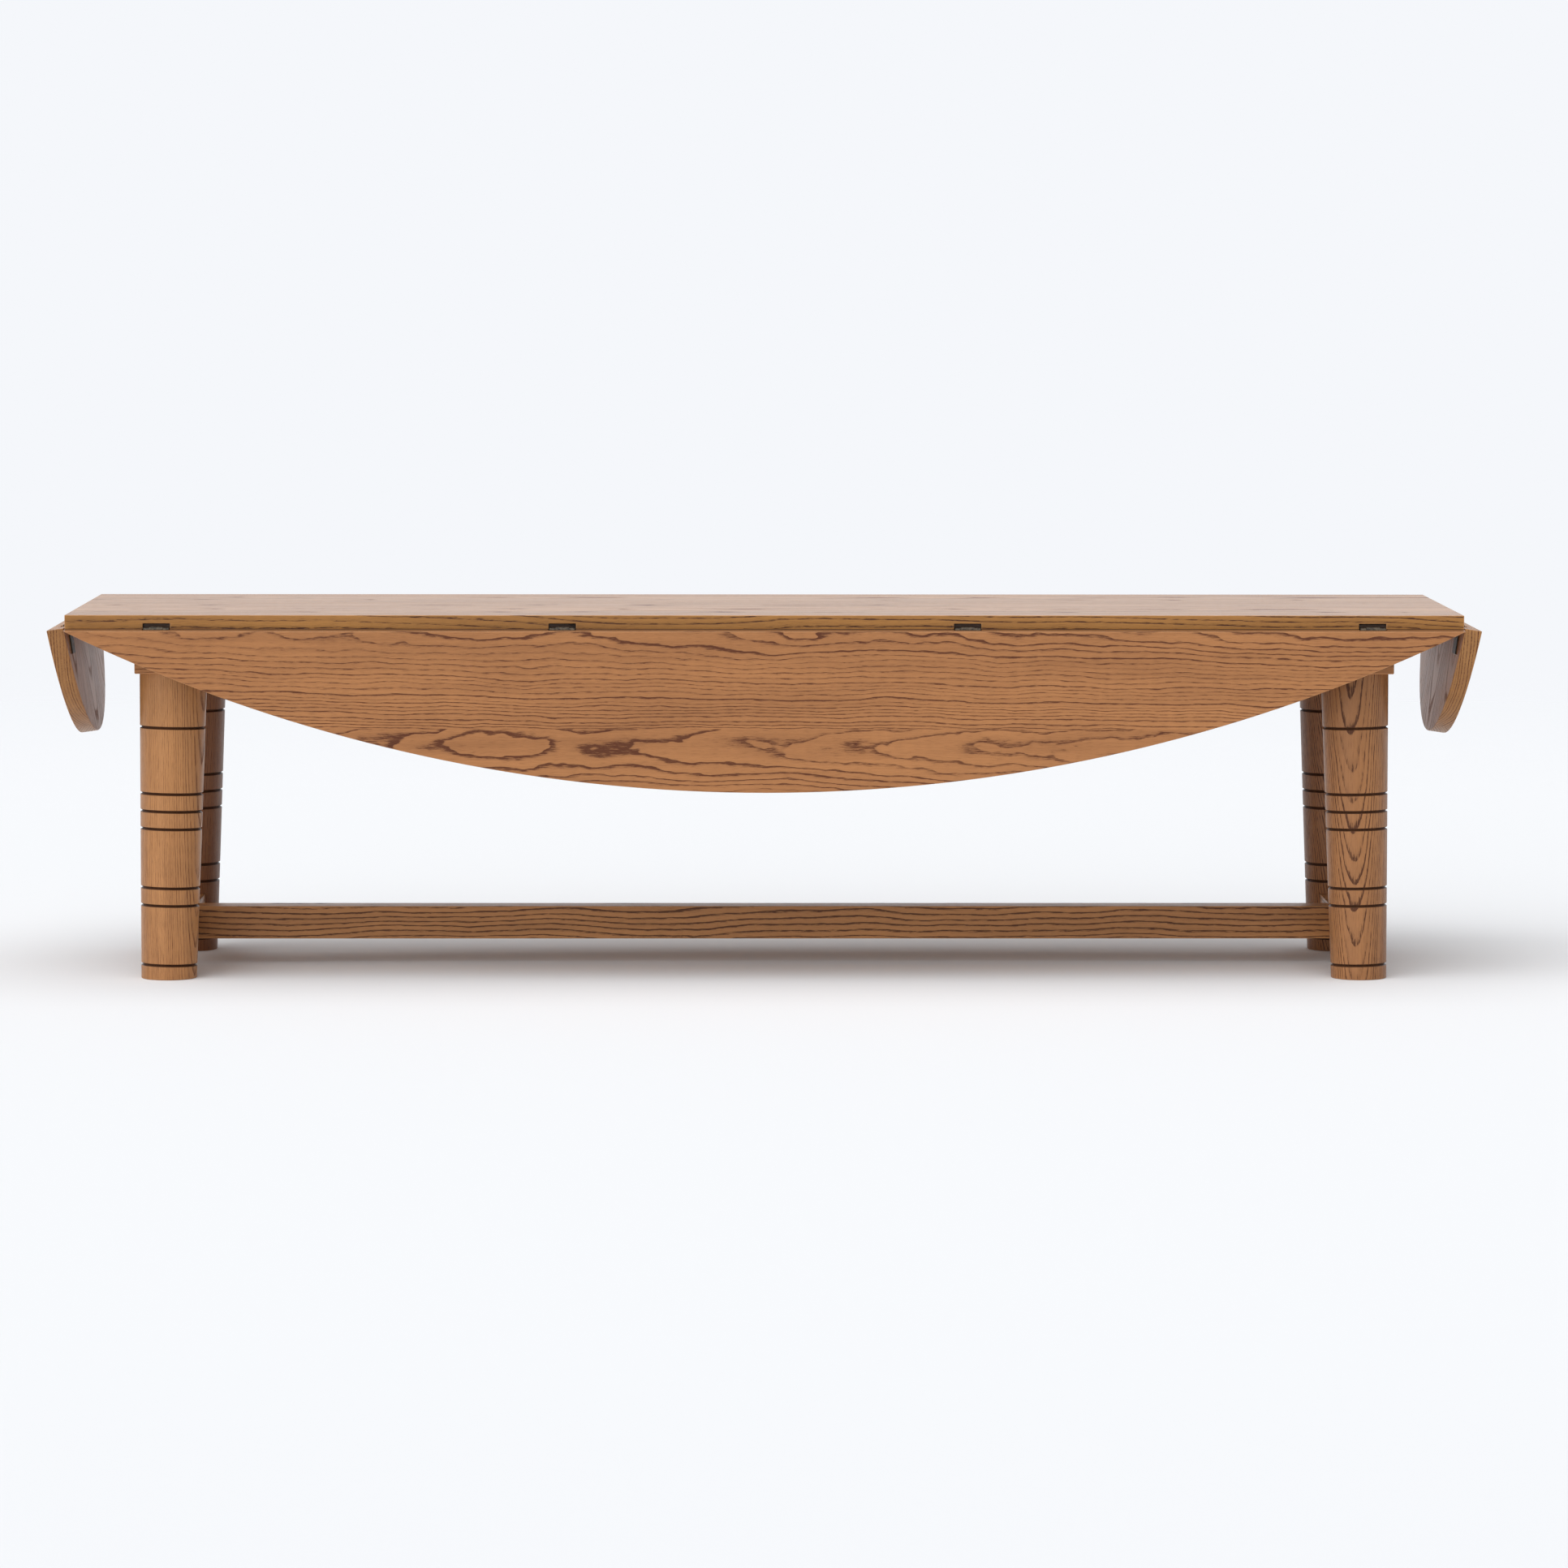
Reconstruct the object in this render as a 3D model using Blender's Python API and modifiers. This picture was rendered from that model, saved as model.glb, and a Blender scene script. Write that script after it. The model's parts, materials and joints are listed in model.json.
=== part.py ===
"""Drop leaf table: a slab top on four turned legs, with four hinged leaves.

Units are metres, +Z is up and +X runs along the table. The origin is on the floor
under the middle of the top, and the front faces -Y. The leaves hang at rest. Raised
onto their slides they close the top into an oval made of four arcs.
"""

import math

import bmesh
import bpy
from mathutils import Matrix, Vector

# The top.
TABLE_HEIGHT = 0.762
TOP_LENGTH = 2.877
TOP_WIDTH = 0.776
TOP_THICKNESS = 0.035
LONG_LEAF_DROP = 0.337
LEAF_JOINT = 0.002

# Clearances: one where pieces are fastened, one where a slide runs.
FIT_GAP = 0.0003
SLIDE_GAP = 0.0005

# Hinges. The pin lies just above the slab's underside and just outside its edge.
PIN_RISE = 0.0035
PIN_OUT = 0.0055
PIN_RADIUS = 0.003
KNUCKLE_RADIUS = 0.0065
HINGE_WIDTH = 0.052
CENTRE_KNUCKLE_WIDTH = 0.0276
PLATE_THICKNESS = 0.0025
PLATE_SETBACK = 0.0145
NECK_INSET = 0.0005
TOP_PLATE_REACH = 0.050
LEAF_PLATE_REACH = 0.055
NOTCH_SIDE_GAP = 0.002
NOTCH_HEIGHT = 0.0175
NOTCH_REACH = 0.014
LONG_HINGE_INSET = 0.1885
END_HINGE_INSET = 0.113
HINGES_PER_LONG_LEAF = 4
HINGES_PER_END_LEAF = 2

# The apron frame.
END_OVERHANG = 0.1375
SIDE_OVERHANG = 0.0555
APRON_HEIGHT = 0.090
APRON_THICKNESS = 0.024
CORNER_BLOCK_SIDE = 0.100
CORNER_BLOCK_HEIGHT = 0.060
RAIL_WIDTH = 0.060
RAIL_THICKNESS = 0.028
BEARER_WIDTH = 0.030
BEARER_HEIGHT = 0.060
BEARER_INSET = 1.001

# Pull-out slides that hold the raised leaves.
SLIDE_WIDTH = 0.045
SLIDE_HEIGHT = 0.030
SLIDE_PAIR_INSET = 0.671
SLIDE_PAIR_GAP = 0.015
SLIDE_TAIL_ROOM = 0.040
END_SLIDE_LENGTH = 0.450

# Legs: turned cones whose outer sides stand upright, set back under the apron.
LEG_FOOT_RADIUS = 0.0575
LEG_TOP_RADIUS = 0.070
APRON_PROUD = 0.0045
GROOVE_HEIGHT = 0.0055
GROOVE_DEPTH = 0.0045
BAND_HEIGHT = 0.0365
FOOT_GROOVE_HEIGHT = 0.029
NECK_GROOVE_DEPTH = 0.114
WAIST_SHARE = 0.478
BOLT_RADIUS = 0.005
BOLT_IN_LEG = 0.060
BOLT_HEAD_RADIUS = 0.009
BOLT_HEAD_HEIGHT = 0.007

# Stretchers.
STRETCHER_WIDTH = 0.068
STRETCHER_HEIGHT = 0.069
STRETCHER_CLEARANCE = 0.055
STRETCHER_HOUSING = 0.020
LOWER_BAND_RISE = 0.029
TENON_THICKNESS = 0.024
TENON_HEIGHT = 0.045
TENON_LENGTH = 0.030

# How finely round shapes are cut into flats, and how much the arrises are eased.
LONG_ARC_STEPS = 72
END_ARC_STEPS = 44
LEG_STEPS = 24
KNUCKLE_SIDES = 20
PIN_SIDES = 12
ARRIS = 0.0015
OVERCUT = 0.020

# Colour, roughness and metallic value of each finish.
OILED_WOOD = ((0.48, 0.24, 0.12), 0.50, 0.0)
INNER_WOOD = ((0.50, 0.32, 0.19), 0.65, 0.0)
BRONZE = ((0.032, 0.024, 0.017), 0.42, 0.9)
STEEL = ((0.45, 0.44, 0.42), 0.35, 1.0)

# Sizes that follow from the ones above.
UNDERSIDE = TABLE_HEIGHT - TOP_THICKNESS
PIN_HEIGHT = UNDERSIDE + PIN_RISE
PLATE_FACE = -PIN_RISE - FIT_GAP
LEAF_EDGE = LEAF_JOINT - PIN_OUT
APRON_X = TOP_LENGTH / 2 - END_OVERHANG
APRON_Y = TOP_WIDTH / 2 - SIDE_OVERHANG
APRON_TOP = UNDERSIDE - FIT_GAP
APRON_BOTTOM = UNDERSIDE - APRON_HEIGHT
INNER_X = APRON_X - APRON_THICKNESS
INNER_Y = APRON_Y - APRON_THICKNESS
SLIDE_TOP = UNDERSIDE - SLIDE_GAP
SLIDE_BOTTOM = SLIDE_TOP - SLIDE_HEIGHT
RAIL_TOP = SLIDE_BOTTOM - SLIDE_GAP
RAIL_BOTTOM = RAIL_TOP - RAIL_THICKNESS
BEARER_X = APRON_X - BEARER_INSET
SLIDE_PAIR_X = APRON_X - SLIDE_PAIR_INSET
SLIDE_OFFSET = (SLIDE_WIDTH + SLIDE_PAIR_GAP) / 2
LEG_TOP = APRON_BOTTOM - FIT_GAP
LEG_OUTER_X = APRON_X - APRON_PROUD
LEG_OUTER_Y = APRON_Y - APRON_PROUD
STRETCHER_TOP = STRETCHER_CLEARANCE + STRETCHER_HEIGHT

LEFT_RIGHT = (("left", -1), ("right", 1))
FRONT_BACK = (("front", -1), ("back", 1))
CORNERS = [(f"{y_name}_{x_name}", x, y) for y_name, y in FRONT_BACK for x_name, x in LEFT_RIGHT]


def clear_scene():
    for obj in list(bpy.data.objects):
        bpy.data.objects.remove(obj)


def new_collection(name):
    collection = bpy.data.collections.new(name)
    bpy.context.scene.collection.children.link(collection)
    return collection


def finish_material(name, finish):
    """A plain material of the finish's colour, roughness and metallic value."""
    colour, roughness, metallic = finish
    material = bpy.data.materials.new(name + "_finish")
    material.use_nodes = True
    shader = material.node_tree.nodes["Principled BSDF"]
    shader.inputs["Base Color"].default_value = (*colour, 1.0)
    shader.inputs["Roughness"].default_value = roughness
    shader.inputs["Metallic"].default_value = metallic
    material.diffuse_color = (*colour, 1.0)
    return material


def add_part(name, mesh, finish, parent=None):
    """A visible piece of the table, in its own material."""
    part = bpy.data.objects.new(name, mesh)
    table.objects.link(part)
    part.parent = parent
    if not mesh.materials:
        mesh.materials.append(None)
    part.material_slots[0].link = "OBJECT"
    part.material_slots[0].material = finish_material(name, finish)
    return part


def add_cutter(name, mesh, parent=None):
    """A hidden solid that Boolean modifiers take away from the parts."""
    cutter = bpy.data.objects.new(name, mesh)
    cutters.objects.link(cutter)
    cutter.parent = parent
    cutter.hide_render = True
    cutter.display_type = "WIRE"
    return cutter


def add_axis(name, matrix):
    """An empty that carries the pieces on one axis."""
    axis = bpy.data.objects.new(name, None)
    table.objects.link(axis)
    axis.empty_display_size = 0.05
    axis.matrix_world = matrix
    return axis


def cut(part, cutter):
    modifier = part.modifiers.new("cut_" + cutter.name, "BOOLEAN")
    modifier.operation = "DIFFERENCE"
    modifier.solver = "EXACT"
    modifier.object = cutter


def ease_edges(part, width=ARRIS):
    modifier = part.modifiers.new("eased_edges", "BEVEL")
    modifier.width = width
    modifier.segments = 1
    modifier.limit_method = "ANGLE"


def mesh_from(name, shape):
    mesh = bpy.data.meshes.new(name)
    shape.to_mesh(mesh)
    shape.free()
    return mesh


def box_mesh(name, *boxes):
    """One mesh of boxes, each given by its lowest and highest corners."""
    shape = bmesh.new()
    for low, high in boxes:
        low, high = Vector(low), Vector(high)
        place = Matrix.Translation((low + high) / 2) @ Matrix.Diagonal((*(high - low), 1))
        bmesh.ops.create_cube(shape, size=1, matrix=place)
    return mesh_from(name, shape)


def add_rod(shape, radius, sides, length, centre, axis="Z"):
    """A many-sided rod along X or Z, with its middle at the centre."""
    turn = Matrix.Rotation(math.radians(90), 4, "Y") if axis == "X" else Matrix()
    bmesh.ops.create_cone(
        shape,
        cap_ends=True,
        segments=sides,
        radius1=radius,
        radius2=radius,
        depth=length,
        matrix=Matrix.Translation(centre) @ turn,
    )


def rod_mesh(name, radius, sides, length, centre, axis="Z"):
    shape = bmesh.new()
    add_rod(shape, radius, sides, length, centre, axis)
    return mesh_from(name, shape)


def bore_radius(radius, sides):
    """The radius of a flat-sided bore that clears a rod by the fit gap at its flats."""
    return (radius + FIT_GAP) / math.cos(math.pi / sides)


def combined_mesh(name, first, united=(), removed=()):
    """The first solid with others joined to it and others cut from it, as one mesh."""
    base = add_cutter(name, first)
    operands = [(mesh, "UNION") for mesh in united] + [(mesh, "DIFFERENCE") for mesh in removed]
    helpers = [base]
    for mesh, operation in operands:
        helper = add_cutter(mesh.name, mesh)
        modifier = base.modifiers.new(operation, "BOOLEAN")
        modifier.operation = operation
        modifier.solver = "EXACT"
        modifier.object = helper
        helpers.append(helper)
    graph = bpy.context.evaluated_depsgraph_get()
    result = bpy.data.meshes.new_from_object(base.evaluated_get(graph))
    result.name = name
    for helper in helpers:
        bpy.data.objects.remove(helper)
    result.shade_smooth()
    result.set_sharp_from_angle(angle=math.radians(30))
    return result


class Side:
    """One side of the top, with its leaf. Its frame has X along the pin, Y out, Z up."""

    def __init__(self, name, heading, span, reach, drop, steps, hinge_inset, hinges):
        self.name = name
        self.span = span
        self.drop = drop
        self.steps = steps
        turn = Matrix.Rotation(math.radians(heading), 4, "Z")
        self.frame = turn @ Matrix.Translation((0, reach / 2 + PIN_OUT, PIN_HEIGHT))
        outermost = span / 2 - hinge_inset
        pitch = 2 * outermost / (hinges - 1)
        self.hinge_places = [index * pitch - outermost for index in range(hinges)]

    def half_angle(self):
        """Half of the angle that the leaf's arc turns through."""
        return 2 * math.atan(self.drop / (self.span / 2))

    def radius(self):
        return self.span / 2 / math.sin(self.half_angle())

    def outline(self):
        """The leaf's outline seen from above when it is raised: a chord and its arc."""
        alpha, radius = self.half_angle(), self.radius()
        points = []
        for step in range(self.steps + 1):
            angle = alpha * (1 - 2 * step / self.steps)
            rise = radius * (math.cos(angle) - math.cos(alpha))
            points.append((radius * math.sin(angle), LEAF_EDGE + rise))
        return points

    def hang_angle(self):
        """How far past straight down the free leaf hangs, with its weight under the pin."""
        alpha, radius = self.half_angle(), self.radius()
        segment = 3 * (alpha - math.sin(alpha) * math.cos(alpha))
        centroid = 2 * radius * math.sin(alpha) ** 3 / segment - radius * math.cos(alpha)
        return math.atan2(TOP_THICKNESS / 2 - PIN_RISE, centroid + LEAF_EDGE)


def table_sides():
    """The four sides. The end arcs meet the long arcs with no corner between them."""
    long_angle = 2 * math.atan(LONG_LEAF_DROP / (TOP_LENGTH / 2))
    end_drop = TOP_WIDTH / 2 * math.tan((math.pi / 2 - long_angle) / 2)
    long_side = (TOP_LENGTH, TOP_WIDTH, LONG_LEAF_DROP, LONG_ARC_STEPS)
    long_hinges = (LONG_HINGE_INSET, HINGES_PER_LONG_LEAF)
    end_side = (TOP_WIDTH, TOP_LENGTH, end_drop, END_ARC_STEPS)
    end_hinges = (END_HINGE_INSET, HINGES_PER_END_LEAF)
    return [
        Side("back", 0, *long_side, *long_hinges),
        Side("left", 90, *end_side, *end_hinges),
        Side("front", 180, *long_side, *long_hinges),
        Side("right", 270, *end_side, *end_hinges),
    ]


def notch_boxes(places, low_y, high_y):
    """Boxes that clear room for the knuckles, in a side's frame."""
    half = HINGE_WIDTH / 2 + NOTCH_SIDE_GAP
    low_z, high_z = -PIN_RISE - OVERCUT, NOTCH_HEIGHT - PIN_RISE
    return [((x - half, low_y, low_z), (x + half, high_y, high_z)) for x in places]


def build_top(sides):
    half_x, half_y = TOP_LENGTH / 2, TOP_WIDTH / 2
    slab = box_mesh("top_slab", ((-half_x, -half_y, UNDERSIDE), (half_x, half_y, TABLE_HEIGHT)))
    top = add_part("top_slab", slab, OILED_WOOD)
    for side in sides:
        boxes = notch_boxes(side.hinge_places, -NOTCH_REACH, OVERCUT)
        cutter = add_cutter(side.name + "_slab_notches", box_mesh("slab_notches", *boxes))
        cutter.matrix_world = side.frame
        cut(top, cutter)


def outline_mesh(name, outline, thickness, middle_z):
    """A flat outline, extruded to a thickness about a height."""
    shape = bmesh.new()
    low_z = middle_z - thickness / 2
    corners = [shape.verts.new((x, y, low_z)) for x, y in outline]
    base = shape.faces.new(corners)
    raised = bmesh.ops.extrude_face_region(shape, geom=[base], use_keep_orig=True)
    lifted = [item for item in raised["geom"] if isinstance(item, bmesh.types.BMVert)]
    bmesh.ops.translate(shape, verts=lifted, vec=(0, 0, thickness))
    bmesh.ops.recalc_face_normals(shape, faces=shape.faces)
    return mesh_from(name, shape)


def build_leaf(side):
    """The leaf, and the empty on its pin that it swings about."""
    hang = Matrix.Rotation(-math.pi / 2 - side.hang_angle(), 4, "X")
    axis = add_axis(side.name + "_leaf_axis", side.frame @ hang)
    name = side.name + "_leaf"
    board = outline_mesh(name, side.outline(), TOP_THICKNESS, TOP_THICKNESS / 2 - PIN_RISE)
    leaf = add_part(name, board, OILED_WOOD, axis)
    boxes = notch_boxes(side.hinge_places, LEAF_EDGE - OVERCUT, NOTCH_REACH)
    notches = box_mesh("leaf_notches", *boxes)
    cut(leaf, add_cutter(side.name + "_leaf_notches", notches, axis))
    return axis


def mirrored_outline(right_half):
    """A closed outline from its right half, which runs up from the middle line."""
    return right_half + [(-x, y) for x, y in reversed(right_half)]


def plate_meshes():
    """The fixed plate with the outer knuckles and the pin, and the plate that swings."""
    half, centre_half = HINGE_WIDTH / 2, CENTRE_KNUCKLE_WIDTH / 2
    outer_start = centre_half + FIT_GAP
    outer_width = half - outer_start
    neck_end = PIN_RADIUS / 3
    middle_z = PLATE_FACE - PLATE_THICKNESS / 2
    knuckle = (KNUCKLE_RADIUS, KNUCKLE_SIDES)

    neck_outer, neck_inner = half - NECK_INSET, outer_start + NECK_INSET
    fixed_half = [
        (half, -TOP_PLATE_REACH),
        (half, -PLATE_SETBACK),
        (neck_outer, -PLATE_SETBACK),
        (neck_outer, -neck_end),
        (neck_inner, -neck_end),
        (neck_inner, -PLATE_SETBACK),
    ]
    outline = mirrored_outline(fixed_half)
    fixed = outline_mesh("fixed_plate", outline, PLATE_THICKNESS, middle_z)
    pin_length = HINGE_WIDTH - outer_width
    joined = [rod_mesh("pin", PIN_RADIUS, PIN_SIDES, pin_length, (0, 0, 0), "X")]
    for hand in (-1, 1):
        middle = (hand * (half + outer_start) / 2, 0, 0)
        joined.append(rod_mesh("knuckle", *knuckle, outer_width, middle, "X"))
    fixed = combined_mesh("fixed_plate", fixed, united=joined)

    neck_half = centre_half - NECK_INSET
    swing_half = [
        (neck_half, neck_end),
        (neck_half, PLATE_SETBACK),
        (half, PLATE_SETBACK),
        (half, LEAF_PLATE_REACH),
    ]
    outline = mirrored_outline(swing_half)
    swing = outline_mesh("swing_plate", outline, PLATE_THICKNESS, middle_z)
    barrel = rod_mesh("barrel", *knuckle, CENTRE_KNUCKLE_WIDTH, (0, 0, 0), "X")
    bore_length = CENTRE_KNUCKLE_WIDTH + OVERCUT
    bore = bore_radius(PIN_RADIUS, PIN_SIDES)
    hole = rod_mesh("bore", bore, PIN_SIDES, bore_length, (0, 0, 0), "X")
    return fixed, combined_mesh("swing_plate", swing, united=[barrel], removed=[hole])


def build_hinges(side, leaf_axis, fixed_mesh, swing_mesh):
    frame = add_axis(side.name + "_side_frame", side.frame)
    for number, place in enumerate(side.hinge_places, 1):
        name = f"{side.name}_hinge_{number}"
        fixed = add_part(name + "_fixed_plate", fixed_mesh, BRONZE, frame)
        swing = add_part(name + "_leaf_plate", swing_mesh, BRONZE, leaf_axis)
        fixed.location.x = place
        swing.location.x = place


def slide_boxes():
    """Each slide's name with its lowest and highest corners when it is pushed home."""
    reach = 2 * APRON_Y - APRON_THICKNESS - SLIDE_TAIL_ROOM
    half = SLIDE_WIDTH / 2
    boxes = {}
    for y_name, y in FRONT_BACK:
        for x_name, x in LEFT_RIGHT:
            middle = x * (SLIDE_PAIR_X + y * SLIDE_OFFSET)
            ends = sorted((y * APRON_Y, y * (APRON_Y - reach)))
            low = (middle - half, ends[0], SLIDE_BOTTOM)
            boxes[f"{y_name}_slide_{x_name}"] = (low, (middle + half, ends[1], SLIDE_TOP))
    for x_name, x in LEFT_RIGHT:
        ends = sorted((x * APRON_X, x * (APRON_X - END_SLIDE_LENGTH)))
        boxes[f"{x_name}_slide"] = ((ends[0], -half, SLIDE_BOTTOM), (ends[1], half, SLIDE_TOP))
    return boxes


def build_slides():
    """The slides, and the cutter for the slots that they run in."""
    grow = Vector((SLIDE_GAP, SLIDE_GAP, SLIDE_GAP))
    slots = []
    for name, (low, high) in slide_boxes().items():
        low, high = Vector(low), Vector(high)
        middle = (low + high) / 2
        slide = add_part(name, box_mesh(name, (low - middle, high - middle)), OILED_WOOD)
        slide.location = middle
        ease_edges(slide)
        along = Vector((0, OVERCUT, 0)) if high.y - low.y > SLIDE_WIDTH * 1.5 else Vector((OVERCUT, 0, 0))
        over = Vector((0, 0, OVERCUT))
        slots.append((low - grow - along, high + grow + along + over))
    return add_cutter("slide_slots", box_mesh("slide_slots", *slots))


def build_apron(slots):
    """Four boards under the top: the long ones run past the ends of the short ones."""
    for name, y in FRONT_BACK:
        low_y, high_y = sorted((y * INNER_Y, y * APRON_Y))
        low, high = (-APRON_X, low_y, APRON_BOTTOM), (APRON_X, high_y, APRON_TOP)
        apron = add_part(name + "_apron", box_mesh(name + "_apron", (low, high)), OILED_WOOD)
        ease_edges(apron)
        cut(apron, slots)
    half_y = INNER_Y - FIT_GAP
    for name, x in LEFT_RIGHT:
        low_x, high_x = sorted((x * INNER_X, x * APRON_X))
        low, high = (low_x, -half_y, APRON_BOTTOM), (high_x, half_y, APRON_TOP)
        apron = add_part(name + "_apron", box_mesh(name + "_apron", (low, high)), OILED_WOOD)
        ease_edges(apron)
        cut(apron, slots)


def build_bearers():
    """The rail that the slides run on, and the two cross bearers let over it."""
    half_x, half_y = INNER_X - FIT_GAP, RAIL_WIDTH / 2
    low, high = (-half_x, -half_y, RAIL_BOTTOM), (half_x, half_y, RAIL_TOP)
    rail = add_part("centre_rail", box_mesh("centre_rail", (low, high)), INNER_WOOD)
    ease_edges(rail)
    notch_y, notch_z = half_y + FIT_GAP, RAIL_TOP + FIT_GAP
    notch = ((-half_x, -notch_y, RAIL_BOTTOM - OVERCUT), (half_x, notch_y, notch_z))
    rail_slot = add_cutter("rail_slot", box_mesh("rail_slot", notch))
    for name, x in LEFT_RIGHT:
        half_width, half_length = BEARER_WIDTH / 2, INNER_Y - FIT_GAP
        low = (-half_width, -half_length, APRON_TOP - BEARER_HEIGHT)
        mesh = box_mesh("cross_bearer_" + name, (low, (half_width, half_length, APRON_TOP)))
        bearer = add_part("cross_bearer_" + name, mesh, INNER_WOOD)
        bearer.location.x = x * BEARER_X
        cut(bearer, rail_slot)


def leg_radius(height):
    return LEG_FOOT_RADIUS + (LEG_TOP_RADIUS - LEG_FOOT_RADIUS) * height / LEG_TOP


def leg_centre(x, y, height):
    """The middle of a leg at a height. Its outer sides stand upright."""
    inset = leg_radius(height)
    return Vector((x * (LEG_OUTER_X - inset), y * (LEG_OUTER_Y - inset), height))


def groove_heights():
    """Grooves: one at the foot, two over the stretcher, three at the waist, one at the neck."""
    lower = STRETCHER_TOP + LOWER_BAND_RISE
    neck = LEG_TOP - NECK_GROOVE_DEPTH
    waist = lower + BAND_HEIGHT + (neck - lower - BAND_HEIGHT) * WAIST_SHARE
    waists = [waist + step * BAND_HEIGHT for step in (-1, 0, 1)]
    return [FOOT_GROOVE_HEIGHT, lower, lower + BAND_HEIGHT, *waists, neck]


def leg_profile():
    """The leg's outline from its axis at the top, down its side, and back to its axis."""
    top, bottom = LEG_TOP + OVERCUT, -OVERCUT
    points = [(0, top), (leg_radius(top), top)]
    half = GROOVE_HEIGHT / 2
    for height in reversed(groove_heights()):
        points.append((leg_radius(height + half), height + half))
        points.append((leg_radius(height) - GROOVE_DEPTH, height))
        points.append((leg_radius(height - half), height - half))
    return points + [(leg_radius(bottom), bottom), (0, bottom)]


def leg_mesh():
    mesh = bpy.data.meshes.new("leg_profile")
    points = [(radius, 0, height) for radius, height in leg_profile()]
    edges = [(index, index + 1) for index in range(len(points) - 1)]
    mesh.from_pydata(points, edges, [])
    return mesh


def spin(part, steps):
    """Turns a profile into a solid of revolution about its own Z axis."""
    modifier = part.modifiers.new("turned", "SCREW")
    modifier.axis = "Z"
    modifier.angle = 2 * math.pi
    modifier.steps = steps
    modifier.render_steps = steps
    modifier.use_merge_vertices = True
    modifier.merge_threshold = 1e-5
    modifier.use_smooth_shade = True


def leg_cutters(stretchers):
    """One cutter levels both ends of the legs, and one cuts their sockets and bolt holes."""
    reach = TOP_LENGTH
    floor = ((-reach, -reach, -2 * OVERCUT), (reach, reach, 0))
    over = ((-reach, -reach, LEG_TOP), (reach, reach, LEG_TOP + 2 * OVERCUT))
    levels = add_cutter("leg_levels", box_mesh("leg_levels", floor, over))
    shape = bmesh.new()
    shape.from_mesh(box_mesh("sockets", *stretchers))
    radius = bore_radius(BOLT_RADIUS, PIN_SIDES)
    for _, x, y in CORNERS:
        length = BOLT_IN_LEG + FIT_GAP + CORNER_BLOCK_HEIGHT + OVERCUT
        middle = leg_centre(x, y, LEG_TOP)
        middle.z += length / 2 - BOLT_IN_LEG - FIT_GAP
        add_rod(shape, radius, PIN_SIDES, length, middle)
    return levels, add_cutter("leg_joinery", mesh_from("leg_joinery", shape))


def build_legs(levels, joinery):
    profile = leg_mesh()
    for name, x, y in CORNERS:
        foot, top = leg_centre(x, y, 0), leg_centre(x, y, LEG_TOP)
        leg = add_part("leg_" + name, profile, OILED_WOOD)
        leg.rotation_mode = "QUATERNION"
        leg.rotation_quaternion = (top - foot).to_track_quat("Z", "X")
        leg.location = foot
        spin(leg, LEG_STEPS)
        cut(leg, levels)
        cut(leg, joinery)


def build_corner_blocks(joinery):
    """A block in each corner of the apron, and the bolt that pulls the leg up to it."""
    side = CORNER_BLOCK_SIDE
    for name, x, y in CORNERS:
        x_ends = sorted((x * (INNER_X - FIT_GAP), x * (INNER_X - FIT_GAP - side)))
        y_ends = sorted((y * (INNER_Y - FIT_GAP), y * (INNER_Y - FIT_GAP - side)))
        low = (x_ends[0], y_ends[0], APRON_BOTTOM)
        high = (x_ends[1], y_ends[1], APRON_BOTTOM + CORNER_BLOCK_HEIGHT)
        mesh = box_mesh("corner_block_" + name, (low, high))
        cut(add_part("corner_block_" + name, mesh, INNER_WOOD), joinery)
        bolt = add_part("leg_bolt_" + name, bolt_mesh(), STEEL)
        bolt.location = leg_centre(x, y, LEG_TOP)


def bolt_mesh():
    """A bolt with its head on the corner block and its shank down in the leg."""
    seat = FIT_GAP + CORNER_BLOCK_HEIGHT + FIT_GAP
    head_overlap = BOLT_HEAD_HEIGHT / 2
    length = BOLT_IN_LEG + seat + head_overlap
    middle = (0, 0, length / 2 - BOLT_IN_LEG)
    shank = rod_mesh("shank", BOLT_RADIUS, PIN_SIDES, length, middle)
    head_middle = (0, 0, seat + BOLT_HEAD_HEIGHT / 2)
    head = rod_mesh("head", BOLT_HEAD_RADIUS, 6, BOLT_HEAD_HEIGHT, head_middle)
    return combined_mesh("leg_bolt", shank, united=[head])


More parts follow.
